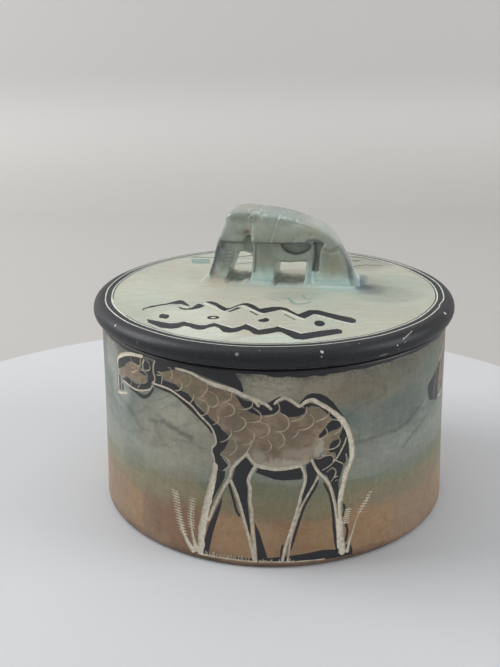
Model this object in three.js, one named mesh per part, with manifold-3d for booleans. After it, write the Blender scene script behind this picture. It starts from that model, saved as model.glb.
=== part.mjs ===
// A round soapstone trinket box: a turned pot and a lift-off lid with an elephant carved on it as a handle.
// Millimetres, +Z up, the origin under the middle of the base. The pot and the lid are the two stones.
import * as THREE from 'three';
import { mergeVertices } from 'three/addons/utils/BufferGeometryUtils.js';
import Module from 'manifold-3d';

// Pot
const BASE_RADIUS = 45;
const RIM_RADIUS = 44;
const POT_HEIGHT = 48.8;
const WAIST_DRAW = 0.35;
const FOOT_ROUND = 1.4;
const RIM_ROUND = 0.6;
const WALL = 5.5;
const FLOOR = 6.5;
const WELL_FILLET = 4;
const MOUTH_CHAMFER = 0.6;

// Lid plate, its rounded rim and the spigot that keeps it centred in the mouth
const SEAT_GAP = 0.3;
const SPIGOT_CLEARANCE = 0.6;
const SPIGOT_DEPTH = 4.5;
const SPIGOT_CHAMFER = 0.8;
const BEAD_ROUND = 2.45;
const BEAD_OVERHANG = 1.9;
const OUTER_RING_INSET = 2.9;
const INNER_RING_INSET = 4.5;
const RING_WIDTH = 0.7;
const RING_DEPTH = 0.3;

// Elephant: u runs from trunk to rump, h is the height above the lid plate
const ELEPHANT_TURN = THREE.MathUtils.degToRad(-13.5);
const ELEPHANT_SETBACK = 9.4;
const ELEPHANT_THICKNESS = 11.6;
const EDGE_ROUND = 1.1;
const ROOT = 3;
const TRUNK_TIP = -19.2;
const CROWN = -8;
const CROWN_HEIGHT = 19.2;
const TRUNK_RAKE = 4;
const BROW_DROP = 2.4;
const FOREHEAD = 3.4;
const BACK_DROP = 2.9;
const RUMP = 19.6;
const FLARE = 3;
const FOOT_CURVE = 1.4;
const LEG_TOP = 11.1;
const LEG_RELIEF = 1;

// Gaps and recesses between the limbs
const TRUNK_WIDTH = 5;
const TRUNK_GAP_WIDTH = 5.8;
const TRUNK_GAP_HEIGHT = 8.6;
const TRUNK_LEAN = 2.6;
const LEG_LEAN = 1.4;
const FRONT_LEG_WIDTH = 7.2;
const BELLY_GAP_WIDTH = 8.3;
const BELLY_GAP_HEIGHT = 6.2;
const BELLY_POCKET_DEPTH = 1.8;
const BELLY_POCKET_DROP = 2.9;
const BELLY_POCKET_MARGIN = 0.7;
const CHIN_DEPTH = 1.2;
const CHIN_WIDTH = 2.8;
const HAUNCH_SLOT = 9.6;
const HAUNCH_SLOT_WIDTH = 1.5;
const HAUNCH_SLOT_DEPTH = 2;
const HAUNCH_SLOT_FOOT = 4;
const EAR_RISE = 0.5;
const EAR_WIDTH = 5.6;
const EAR_FRONT = -6.4;
const EAR_DROP = 1.3;

const TURN_STEPS = 72;
const ROUND_STEPS = 5;
const OUTLINE_STEPS = 4;
const EDGE_STEPS = 3;

const wasm = await Module();
wasm.setup();

// A closed geometry as a solid that can be joined and cut
function solid(geometry) {
  geometry.deleteAttribute('normal');
  geometry.deleteAttribute('uv');
  const merged = mergeVertices(geometry);
  return new wasm.Manifold(new wasm.Mesh({
    numProp: 3,
    vertProperties: new Float32Array(merged.attributes.position.array),
    triVerts: new Uint32Array(merged.index.array),
  }));
}

function mesh(name, body, material) {
  const { vertProperties, triVerts } = body.getMesh();
  const geometry = new THREE.BufferGeometry();
  geometry.setAttribute('position', new THREE.BufferAttribute(new Float32Array(vertProperties), 3));
  geometry.setIndex(new THREE.BufferAttribute(new Uint32Array(triVerts), 1));
  geometry.computeVertexNormals();
  const piece = new THREE.Mesh(geometry, material);
  piece.name = name;
  return piece;
}

// A quarter or half circle as points, for a turned profile
function arc(x, y, radius, from, to, steps) {
  const curve = new THREE.EllipseCurve(x, y, radius, radius, from, to, to < from);
  return curve.getPoints(steps);
}

// A profile of radius and height turned round the Z axis
function turned(profile) {
  const lathe = new THREE.LatheGeometry(profile, TURN_STEPS);
  lathe.rotateX(Math.PI / 2);
  return solid(lathe);
}

const point = (x, y) => new THREE.Vector2(x, y);
const QUARTER = Math.PI / 2;

// Pot: one closed profile, up the outside, over the rim and down into the well
const mouthRadius = RIM_RADIUS - WALL;

function pot() {
  const side = new THREE.QuadraticBezierCurve(
    point(BASE_RADIUS, FOOT_ROUND),
    point((BASE_RADIUS + RIM_RADIUS) / 2 - WAIST_DRAW, POT_HEIGHT / 2),
    point(RIM_RADIUS, POT_HEIGHT - RIM_ROUND),
  );
  return turned([
    point(0, 0),
    ...arc(BASE_RADIUS - FOOT_ROUND, FOOT_ROUND, FOOT_ROUND, -QUARTER, 0, ROUND_STEPS),
    ...side.getPoints(ROUND_STEPS).slice(1),
    ...arc(RIM_RADIUS - RIM_ROUND, POT_HEIGHT - RIM_ROUND, RIM_ROUND, 0, QUARTER, 3).slice(1),
    point(mouthRadius + MOUTH_CHAMFER, POT_HEIGHT),
    point(mouthRadius, POT_HEIGHT - MOUTH_CHAMFER),
    ...arc(mouthRadius - WELL_FILLET, FLOOR + WELL_FILLET, WELL_FILLET, 0, -QUARTER, ROUND_STEPS),
    point(0, FLOOR),
  ]);
}

// Lid: heights are counted from the seat that rests over the rim
const beadRadius = RIM_RADIUS + BEAD_OVERHANG;
const beadCentre = beadRadius - BEAD_ROUND;
const plateTop = 2 * BEAD_ROUND;
const spigotRadius = mouthRadius - SPIGOT_CLEARANCE;

// A shallow incised ring in the plate's top, walked inwards
function ringGroove(inset) {
  const middle = beadRadius - inset;
  return [
    point(middle + RING_WIDTH / 2, plateTop),
    point(middle, plateTop - RING_DEPTH),
    point(middle - RING_WIDTH / 2, plateTop),
  ];
}

function plate() {
  return turned([
    point(0, -SPIGOT_DEPTH),
    point(spigotRadius - SPIGOT_CHAMFER, -SPIGOT_DEPTH),
    point(spigotRadius, SPIGOT_CHAMFER - SPIGOT_DEPTH),
    point(spigotRadius, 0),
    ...arc(beadCentre, BEAD_ROUND, BEAD_ROUND, -QUARTER, QUARTER, 2 * ROUND_STEPS),
    ...ringGroove(OUTER_RING_INSET),
    ...ringGroove(INNER_RING_INSET),
    point(0, plateTop),
  ]);
}

// An outline of u and h made a slab across the elephant, centred on its middle plane
function slab(outline, thickness, rounding) {
  const geometry = new THREE.ExtrudeGeometry(outline, {
    depth: thickness - 2 * rounding,
    bevelEnabled: rounding > 0,
    bevelThickness: rounding,
    bevelSize: rounding,
    bevelOffset: -rounding,
    bevelSegments: EDGE_STEPS,
    curveSegments: OUTLINE_STEPS,
  });
  geometry.translate(0, 0, rounding - thickness / 2);
  geometry.rotateX(QUARTER);
  return solid(geometry);
}

// A recess of the same outline on both flanks, cut to a depth below the block's face
function flankRecess(outline, depth) {
  const half = ELEPHANT_THICKNESS / 2;
  const cutter = new THREE.ExtrudeGeometry(outline, { depth: 2 * depth, bevelEnabled: false, curveSegments: 8 });
  cutter.translate(0, 0, -depth);
  cutter.rotateX(QUARTER);
  const near = cutter.clone().translate(0, -half, 0);
  const far = cutter.clone().translate(0, half, 0);
  return solid(near).add(solid(far));
}

function polygon(...corners) {
  return new THREE.Shape(corners.map(([u, h]) => point(u, h)));
}

// Side view of the whole animal: up the trunk and brow, over the crown, down the back to the flared foot
function silhouette() {
  const outline = new THREE.Shape();
  outline.moveTo(TRUNK_TIP, -ROOT);
  outline.lineTo(TRUNK_TIP, 0);
  outline.splineThru([
    point(TRUNK_TIP + TRUNK_RAKE / 2, LEG_TOP / 2),
    point(TRUNK_TIP + TRUNK_RAKE, LEG_TOP + 0.7),
    point((TRUNK_TIP + TRUNK_RAKE + CROWN - FOREHEAD) / 2, CROWN_HEIGHT - BROW_DROP),
    point(CROWN - FOREHEAD, CROWN_HEIGHT - 0.6),
    point(CROWN, CROWN_HEIGHT),
    point(CROWN + 8, CROWN_HEIGHT - 0.7),
    point(CROWN + 16, CROWN_HEIGHT - BACK_DROP),
    point(RUMP - 6.6, CROWN_HEIGHT - 2 * BACK_DROP),
    point(RUMP - 3.4, CROWN_HEIGHT / 2 - 0.6),
    point(RUMP - 1.4, CROWN_HEIGHT / 5),
    point(RUMP, FOOT_CURVE),
  ]);
  outline.quadraticCurveTo(RUMP + FLARE / 4, FOOT_CURVE / 4, RUMP + FLARE, 0);
  outline.lineTo(RUMP + FLARE, -ROOT);
  return outline;
}

// Feet of the limbs along the plate; the limbs lean back as they rise to the belly line
const trunkGapFoot = TRUNK_TIP + TRUNK_WIDTH;
const frontLegFoot = trunkGapFoot + TRUNK_GAP_WIDTH;
const bellyGapFoot = frontLegFoot + FRONT_LEG_WIDTH;

// The daylight between the trunk and the front leg, with an arched roof
function trunkGap() {
  const outline = new THREE.Shape();
  const shoulder = TRUNK_GAP_HEIGHT - 1.6;
  outline.moveTo(trunkGapFoot, 0);
  outline.lineTo(trunkGapFoot + TRUNK_LEAN, shoulder);
  outline.quadraticCurveTo(
    trunkGapFoot + 1.4 * TRUNK_LEAN, TRUNK_GAP_HEIGHT + 0.4,
    frontLegFoot + LEG_LEAN, shoulder + 0.6,
  );
  outline.lineTo(frontLegFoot, 0);
  return outline;
}

// The wider gap between the front and hind legs, under the belly web
function bellyGap() {
  return polygon(
    [bellyGapFoot, 0],
    [bellyGapFoot + LEG_LEAN / 2, BELLY_GAP_HEIGHT],
    [bellyGapFoot + BELLY_GAP_WIDTH / 2, BELLY_GAP_HEIGHT - 0.3],
    [bellyGapFoot + BELLY_GAP_WIDTH + LEG_LEAN / 2, BELLY_GAP_HEIGHT + 0.4],
    [bellyGapFoot + BELLY_GAP_WIDTH, 0],
  );
}

// The flanks below the belly line, where the trunk and legs stand back from the block
function legRelief() {
  return polygon(
    [TRUNK_TIP - 3, -ROOT],
    [TRUNK_TIP - 3, LEG_TOP],
    [HAUNCH_SLOT, LEG_TOP],
    [HAUNCH_SLOT, -ROOT],
  );
}

function bellyPocket() {
  const outline = new THREE.Shape();
  const start = bellyGapFoot + LEG_LEAN + BELLY_POCKET_MARGIN;
  const half = (HAUNCH_SLOT - BELLY_POCKET_MARGIN - start) / 2;
  outline.moveTo(start, LEG_TOP);
  outline.absellipse(start + half, LEG_TOP, half, BELLY_POCKET_DROP, Math.PI, 2 * Math.PI, false, 0);
  return outline;
}

function chin() {
  return polygon(
    [EAR_FRONT, TRUNK_GAP_HEIGHT - 0.4],
    [EAR_FRONT, LEG_TOP + 1.9],
    [EAR_FRONT - CHIN_WIDTH / 2, LEG_TOP + 1.9],
    [EAR_FRONT - CHIN_WIDTH, TRUNK_GAP_HEIGHT],
  );
}

function haunchSlot() {
  return polygon(
    [HAUNCH_SLOT - 0.4, HAUNCH_SLOT_FOOT],
    [HAUNCH_SLOT, LEG_TOP + 0.7],
    [HAUNCH_SLOT + HAUNCH_SLOT_WIDTH + 0.5, LEG_TOP + 0.9],
    [HAUNCH_SLOT + HAUNCH_SLOT_WIDTH, HAUNCH_SLOT_FOOT],
  );
}

// The ear lies flat on each flank, from the brow to the shoulder
function ear() {
  const outline = new THREE.Shape();
  outline.moveTo(EAR_FRONT, LEG_TOP);
  const top = CROWN_HEIGHT - EAR_DROP;
  outline.quadraticCurveTo(EAR_FRONT + 0.2, top, EAR_FRONT + 0.6 * EAR_WIDTH, top);
  outline.lineTo(EAR_FRONT + 1.15 * EAR_WIDTH, top - 0.5);
  outline.lineTo(EAR_FRONT + 0.9 * EAR_WIDTH, LEG_TOP);
  return slab(outline, ELEPHANT_THICKNESS + 2 * EAR_RISE, EAR_RISE);
}

function elephant() {
  let animal = slab(silhouette(), ELEPHANT_THICKNESS, EDGE_ROUND);
  animal = animal.subtract(flankRecess(legRelief(), LEG_RELIEF));
  animal = animal.subtract(flankRecess(chin(), LEG_RELIEF + CHIN_DEPTH));
  animal = animal.subtract(flankRecess(bellyPocket(), LEG_RELIEF + BELLY_POCKET_DEPTH));
  animal = animal.subtract(flankRecess(haunchSlot(), HAUNCH_SLOT_DEPTH));
  animal = animal.add(ear());
  animal = animal.subtract(slab(trunkGap(), 2 * ELEPHANT_THICKNESS, 0));
  animal = animal.subtract(slab(bellyGap(), 2 * ELEPHANT_THICKNESS, 0));
  const degrees = THREE.MathUtils.radToDeg(ELEPHANT_TURN);
  return animal.translate([0, ELEPHANT_SETBACK, plateTop]).rotate([0, 0, degrees]);
}

const potStone = new THREE.MeshStandardMaterial({ color: 0x8a9a90, roughness: 0.42, metalness: 0 });
const lidStone = new THREE.MeshStandardMaterial({ color: 0xc3c4b2, roughness: 0.45, metalness: 0 });

const box = new THREE.Group();
const boxBody = mesh('box_body', pot(), potStone);
const lid = mesh('lid', plate().add(elephant()), lidStone);
lid.position.z = POT_HEIGHT + SEAT_GAP;
box.add(boxBody, lid);

export default box;
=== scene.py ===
"""Looks of a carved and painted soapstone trinket box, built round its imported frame.

Lengths are in millimetres, and a finished mesh is scaled to metres. The wall is drawn on a flat sheet
first: s runs round it from the front centre to the right, z runs up from the base.
"""

from __future__ import annotations

import logging
import math
from collections.abc import Callable
from dataclasses import dataclass, field, replace
from enum import IntEnum
from typing import TypeAlias

import bmesh
import bpy
import numpy as np
from mathutils import Matrix, Vector, noise
from mathutils.geometry import delaunay_2d_cdt


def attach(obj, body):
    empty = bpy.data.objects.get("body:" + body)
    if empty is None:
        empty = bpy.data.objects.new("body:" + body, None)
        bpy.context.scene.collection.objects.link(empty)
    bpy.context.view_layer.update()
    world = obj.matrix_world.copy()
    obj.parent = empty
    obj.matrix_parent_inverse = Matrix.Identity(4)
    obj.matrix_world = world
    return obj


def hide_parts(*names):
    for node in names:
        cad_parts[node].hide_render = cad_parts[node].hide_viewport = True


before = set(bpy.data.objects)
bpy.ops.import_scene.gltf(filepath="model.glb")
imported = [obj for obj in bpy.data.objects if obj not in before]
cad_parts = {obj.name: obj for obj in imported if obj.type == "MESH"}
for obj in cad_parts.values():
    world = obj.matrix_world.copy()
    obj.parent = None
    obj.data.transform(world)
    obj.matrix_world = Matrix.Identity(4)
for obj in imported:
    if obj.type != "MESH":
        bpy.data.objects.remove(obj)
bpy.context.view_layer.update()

log = logging.getLogger("trinket_box")

MM = 0.001
TURN_STEPS = 144
WALL_ROLL = 44.5  # the radius at which the wall's sheet is rolled
VEIN_RADIUS = 44.7  # the radius at which the wall's smoky veins run
MERGE_DISTANCE = 0.004
Point: TypeAlias = tuple[float, float]
Place: TypeAlias = tuple[float, float, float]
Tone: TypeAlias = tuple[int, int, int]
Mesh: TypeAlias = bmesh.types.BMesh
Surface: TypeAlias = bpy.types.Material
Piece: TypeAlias = bpy.types.Object


class Paint(IntEnum):
    """What lies on the stone. A higher one covers a lower one."""

    STONE = 0
    DRIP = 1
    COAT = 2
    BLACK = 3
    FAINT = 4
    PALE = 5


SCRATCHED = {Paint.FAINT: .9, Paint.PALE: 1.0}


@dataclass(frozen=True)
class Line:
    """One brush stroke or scratch: its paint, its widths spread along it, and its points."""

    paint: Paint
    width: tuple[float, ...]
    points: tuple[Point, ...]
    smooth: bool = True


@dataclass(frozen=True)
class Area:
    """One filled patch of paint."""

    paint: Paint
    points: tuple[Point, ...]


Mark = Line | Area


def pale(width: float | tuple[float, ...], *points: Point) -> Line:
    """A line scratched through to the pale stone."""
    return Line(Paint.PALE, width if isinstance(width, tuple) else (width,), points)


def faint(width: float | tuple[float, ...], *points: Point) -> Line:
    """A light scratch that only just marks the paint."""
    return Line(Paint.FAINT, width if isinstance(width, tuple) else (width,), points)


def black(width: float | tuple[float, ...], *points: Point) -> Line:
    """A stroke of the black brush."""
    return Line(Paint.BLACK, width if isinstance(width, tuple) else (width,), points)


def blot(*points: Point) -> Area:
    """A filled patch of black."""
    return Area(Paint.BLACK, points)


def coat(*points: Point) -> Area:
    """A filled patch of the brown coat wash."""
    return Area(Paint.COAT, points)


def held(value: float) -> float:
    """The value, held between 0 and 1."""
    return max(0.0, min(1.0, value))


def moved(marks: list[Mark], change: Callable[[Point], Point]) -> list[Mark]:
    """The same marks with every point passed through a function.

    Args:
        marks: The marks to copy.
        change: A function from a point to a point.

    Returns:
        New marks.
    """
    return [replace(mark, points=tuple(change(p) for p in mark.points)) for mark in marks]


def oval(centre: Point, rx: float, ry: float, steps: int = 14) -> tuple[Point, ...]:
    """The points of an oval, once round.

    Args:
        centre: Its middle.
        rx: Half its width.
        ry: Half its height.
        steps: How many points it has.

    Returns:
        The points.
    """
    turn = 2 * math.pi / steps
    return tuple((centre[0] + rx * math.cos(turn * i), centre[1] + ry * math.sin(turn * i))
                 for i in range(steps))


def giraffe_head() -> list[Mark]:
    """The giraffe's head with its pale halo, jaw, ears and horns.

    Returns:
        The marks.
    """
    return [
        coat((-43.3, 42.7), (-41.5, 43.6), (-40.5, 44.7), (-38.9, 45.3), (-36.5, 45.3), (-35, 44.2), (-34, 43.9),
            (-33.3, 43.2), (-33.2, 42.2), (-34, 41.4), (-37.5, 40.7), (-42, 41), (-43.5, 40.3), (-44.6, 40.1),
            (-44.8, 41)),
        blot((-45.4, 41.7), (-45.6, 43.3), (-44.6, 44.7), (-39.9, 46.7), (-37.4, 47.3), (-35.3, 47.5), (-35.4, 45.2),
            (-38.9, 45.4), (-41.4, 44), (-41.9, 43.3), (-44.9, 41.7)),
        blot((-45.3, 40), (-44.6, 40), (-44.6, 36.3), (-45.3, 36.1)),
        blot((-43.9, 38.3), (-43.1, 38.3), (-43.1, 36.7), (-43.9, 36.5)),
        blot((-43.7, 39.7), (-41.7, 40.9), (-37.1, 40.2), (-35.3, 40.7), (-33.5, 41.5), (-32.8, 43.3), (-31.4, 43.3),
            (-31.4, 41.5), (-32.4, 40.4), (-34.6, 39.5), (-37.1, 39), (-39.9, 39.1)),
        blot((-35.6, 44.3), (-33.1, 44.3), (-33.1, 43.2), (-35.6, 43.4)),
        blot((-35, 47.4), (-30.6, 47.4), (-30.6, 43), (-31.4, 42.3), (-33.3, 44), (-35.3, 44.8)),
        black((.6, 1.1, .6), (-39.9, 38.5), (-35.3, 37.75), (-33.5, 38.1), (-32.1, 39.2), (-31.2, 40.6)),
        pale((.8, 1.2, .9), (-46.5, 35.2), (-46.2, 39), (-46, 43.6), (-43.9, 45.4), (-39.9, 46.9), (-34.6, 47.7)),
        pale(.7, (-46.5, 35.2), (-44, 35.8), (-41.7, 36.5)),
        pale(.3, (-44.2, 39), (-44.3, 36.5)),
        pale(.4, *oval((-38.5, 43.3), .75, .6, 10), (-37.75, 43.3)),
        pale(.3, (-37.2, 45.2), (-36.2, 44.6), (-36.6, 43.7), (-37.6, 43.2)),
        pale(.3, (-35.3, 44.2), (-33.9, 44.2), (-33, 43.3), (-33.1, 41.9), (-34.6, 41)),
        pale(.3, (-41.9, 41.7), (-41.7, 40.6), (-43.1, 39.9)),
        pale(.3, (-39.2, 46.3), (-38.9, 45.2), (-39.8, 44.6)),
        pale(.5, (-43.5, 39.4), (-41.7, 39), (-37.1, 38.7), (-33.1, 39.8), (-31.9, 40.5), (-31.4, 41.5)),
        pale(.3, (-39.4, 41), (-39.2, 39.9), (-39.7, 39.2)),
        pale(.3, (-35.5, 42), (-35.5, 40.8), (-36.7, 39.4)),
        pale(.45, (-36.5, 44.6), (-35.5, 45.2), (-35.2, 46.3), (-34.9, 47.6)),
        pale(.6, (-34.4, 44.7), (-34.5, 45.8), (-33.9, 47)),
        pale(.35, (-33.1, 47.2), (-32.2, 46.7), (-31.9, 45.4), (-32.8, 44.6), (-33.9, 44.6)),
        pale(.55, (-30.3, 47.6), (-30.8, 46.5), (-30.9, 44.7), (-30.5, 43.6), (-30.6, 42.6), (-31.4, 42)),
    ]


def giraffe_body() -> list[Mark]:
    """The giraffe's neck, back, chest, rump and belly.

    Returns:
        The marks.
    """
    return [
        coat((-27.6, 45.6), (-27, 46.4), (-21, 46.2), (-9.9, 43), (-8.3, 40.6), (-6.4, 38.9), (-4.3, 38.1),
            (-2, 38.5), (-.3, 39.6), (.3, 38.8), (2.3, 37.8), (4, 38), (6.5, 39.9), (7.5, 40.1), (9.3, 39.5),
            (11, 38.2), (13.4, 34), (13.2, 31.5), (11.5, 29.6), (9.4, 28.6), (8.9, 27.2), (7, 26.9), (5.3, 26),
            (-1, 25.3), (-3, 25.5), (-5.4, 26.8), (-7.2, 28.8), (-9.5, 27.5), (-11, 25.8), (-13.2, 28), (-11.2, 31.8),
            (-11.3, 33.2), (-20.2, 40.8), (-24.3, 43.3), (-27.6, 44.2)),
        coat((13.4, 34.5), (15.4, 33), (16.4, 29), (16.2, 25.6), (14.8, 24), (12, 27), (9, 27.2), (11.5, 30.2)),
        blot((-30.5, 44.8), (-29.8, 44.8), (-24.5, 46.8), (-20, 47.2), (-11.5, 45), (-8, 43.6), (-7.7, 43.8),
            (-8.2, 45.8), (-9.3, 47.4), (-9.4, 48.2), (-30.5, 48.2)),
        blot((-9.6, 42.9), (-7.5, 41.7), (-5.7, 41.5), (-1.4, 39.5), (-.5, 39.7), (-2.1, 38.6), (-4.3, 38.2),
            (-6.4, 39), (-8.2, 40.4)),
        blot((-31, 44.6), (-30.1, 45.1), (-28.5, 44.6), (-27.8, 43.6), (-24.2, 43.3), (-22.6, 42), (-21.2, 41.7),
            (-19.6, 40.3), (-18.5, 38.6), (-16, 37.2), (-15, 35.1), (-16.4, 35.6), (-20.6, 39.2), (-24.9, 41.3),
            (-27.4, 41.9), (-31, 42)),
        blot((-15, 35.8), (-11.4, 33.2), (-11.3, 31.8), (-12.2, 29.6), (-13.4, 28.2), (-11.5, 25.6), (-12.8, 24.2),
            (-14.4, 24.3), (-15.3, 29.2), (-14.4, 31)),
        blot((.2, 41.5), (1.4, 42), (4.3, 40.25), (6.1, 39.7), (5.7, 38.6), (4.3, 37.9), (2.1, 37.9), (.7, 38.8),
            (0, 40.1)),
        blot((5.2, 40.6), (7, 41), (8.6, 40.4), (12.6, 37.8), (15.2, 34), (16.1, 31.5), (16.5, 26.8), (15.6, 25.2),
            (14, 25.6), (13.3, 26.7), (13, 28.6), (13.8, 29.9), (13.6, 31.3), (14.5, 33.4), (14.6, 34.6),
            (13.7, 35.8), (12.4, 36.6), (9.2, 39.8), (7.4, 40.3), (6, 39.8)),
        blot((4.6, 41.1), (6.2, 42.9), (7.4, 43.3), (9.2, 43), (10.7, 42.2), (12.3, 40.7), (16.3, 34.9), (17.5, 31),
            (16.6, 31.2), (15.1, 35.4), (13.6, 37.4), (10.6, 40.4), (9.3, 41.2), (7.4, 41.6), (6, 41), (5, 40.1)),
        blot((-4.4, 38.2), (-.9, 38.7), (0, 39.3), (.4, 40.2), (.1, 41.4), (.8, 42.6), (-4.6, 40.4)),
        blot((-19.6, 39.8), (-13, 34.7), (-13, 33.5), (-15, 33.6), (-15.6, 35), (-19.4, 38.2)),
        blot((11.4, 35.9), (12.5, 36.5), (13.6, 36), (14.4, 34.7), (13.6, 34), (12, 33.8), (9.3, 32.3), (9, 32.9)),
        blot((11.6, 30.2), (12.4, 31.3), (13.6, 31.5), (14.5, 30.2), (14.3, 29), (12.9, 28.4), (11.6, 28.6)),
        blot((7.7, 27.2), (10.2, 28), (12, 27.7), (14.5, 26.2), (15, 24.5), (13.8, 20.5), (11.8, 21.5), (11, 22.9),
            (9.5, 23.8), (8, 25.8)),
        blot((-4.4, 25.9), (-2, 25), (0, 24.9), (5, 25.5), (5.6, 24.6), (5.3, 22.6), (1, 22.5), (-1, 22.8),
            (-5.2, 24.4)),
        black((.5, .95, .8), (-30.5, 41.5), (-25.3, 41), (-22.1, 39.4), (-17.1, 35.6), (-15.1, 33.5)),
        black(.5, (-2, 41.1), (-1.3, 41.7), (.3, 42.6)),
        pale((.6, .9, 1.2, 1, .8), (-24.2, 47.2), (-20, 46.7), (-16.1, 45.25), (-10, 43.8), (-7.9, 42.9), (-6, 42.4),
            (-3, 41), (-1.7, 39.8)),
        pale((1, .7), (-7, 42.7), (-5.4, 41.8), (-4.4, 40.5)),
        pale(.6, (-31, 42), (-27.4, 41.9), (-24.9, 41.3), (-20.6, 39.2), (-18.2, 37), (-15.2, 34.2), (-14.3, 30.8),
            (-15.2, 29.7), (-15.4, 28.5), (-15, 27.4), (-14.7, 25.4)),
        pale((.7, .9, 1, 1.4, 1.6, 1, 1, 1.2, 1.5), (-.9, 41.1), (0, 42), (1.4, 42.4), (2.9, 41.7), (4.6, 40.4),
            (5.7, 41.1), (7.1, 41.7), (8.6, 41.1), (13.9, 36.9), (16.4, 32.6), (17.3, 27.6), (17, 25.4), (15.2, 20.8),
            (14.3, 15.4), (15.2, 2.6)),
        pale((.5, .8, .6), (16.7, 26), (15.9, 22), (15.2, 18.6), (14.9, 16)),
        pale((.4, .7, .4), (16, 25.2), (15.4, 22), (14.9, 18.8)),
        pale((.3, .5, .3), (15.5, 24.4), (15, 21.6), (14.8, 20)),
        pale(.5, (15.7, 31.5), (15, 29.7), (13.6, 27.2), (12.9, 26.3)),
        pale(.4, (13, 26.5), (14.8, 25.4)),
        pale(.4, (15.7, 27.6), (15.9, 26.1), (15.6, 25.2)),
        pale((.7, 1.1, .9), (-7.1, 29), (-6.4, 27.6), (-4.6, 26.1), (0, 25.3), (5, 26)),
    ]


def giraffe_legs() -> list[Mark]:
    """The giraffe's four legs, as pale lines with black beside them.

    Returns:
        The marks.
    """
    return [
        blot((11.4, 22), (13.8, 21.3), (14, 19), (13.6, 15), (12.9, 18.5)),
        black((.5, .8), (10.4, 21.1), (11.8, 18), (12.6, 14), (13, 9), (13.75, 3.6)),
        black(.6, (15.3, 14.9), (15.6, 13.5), (15.2, 12)),
        black(.6, (15.9, 9.7), (16.3, 7.9), (15.9, 5.4)),
        pale(.8, (7.5, 27.2), (9.1, 24), (11.8, 20.4), (13.6, 12.2), (14.1, 4)),
        Area(Paint.FAINT, ((14.1, 2.4), (16, 2.4), (15.8, 4.4), (15.4, 6), (14.3, 6))),
        blot((6.1, 26), (7.4, 26.9), (8.9, 23.9), (8, 21.5), (5.3, 16.8), (4.7, 15.2), (6.5, 23.2)),
        black(.6, (8.9, 21.8), (8.2, 20), (5.7, 15.2), (2.6, 4.8)),
        black(.5, (.9, 6), (.6, 4.5), (.6, 3.3)),
        pale(.8, (5, 26.1), (6.1, 22.9), (5, 18.3), (4.5, 15.8), (1.8, 6.5), (.9, 2)),
        pale(.6, (9.1, 22.9), (5.4, 16.1), (3.75, 11.1), (3, 9), (2.1, 2)),
        blot((-14, 24.2), (-12.2, 24.2), (-12.3, 22.5), (-15, 17), (-16.4, 12.5), (-16.1, 14.8), (-14.4, 21.2)),
        blot((-11.6, 20.8), (-12.9, 17.9), (-13.2, 15.4), (-15.4, 7.6), (-16.6, 1.9), (-18.6, 1.1), (-16.4, 9.7)),
        pale((1.2, 1.9, 2.1, 1.8), (-14.7, 25.4), (-14.8, 23.3), (-17.9, 9.4), (-18.6, 2.2)),
        pale(.8, (-7.1, 29), (-10.5, 25.1), (-11.25, 22.6), (-13.6, 17.9), (-16.4, 11.1)),
        blot((-10.6, 22.3), (-9.8, 25.3), (-7.6, 28), (-5.4, 26.6), (-5.6, 25.6), (-6.7, 24.1), (-7.3, 22.3),
            (-7, 20), (-7.1, 17.5), (-6.4, 9.5), (-6.6, 8), (-8, 14.5)),
        black(.6, (-11.3, 20.8), (-10.2, 17), (-9.8, 15), (-9, 13.3)),
        blot((-5.5, 12), (-4.3, 9.2), (-2.4, 2.3), (-4.8, 2)),
        pale(.8, (-10.9, 21.9), (-8.6, 15.4), (-5.4, 1.1)),
        pale(.9, (-5, 26.1), (-6.25, 24), (-6.8, 22.2), (-6.4, 20.1), (-6.5, 17.2), (-6.1, 14.7), (-6, 11.1),
            (-5.2, 1.1)),
        Line(Paint.COAT, (.5,), ((-9.3, 25.6), (-9, 24), (-8.9, 22.5))),
        blot((-2.5, 2.75), (10.4, 4.1), (13.6, 3.6), (17.1, 4.7), (17.7, 2.6), (17.5, 1.1), (5, 1.9), (-2.5, 1.7)),
    ]


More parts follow.
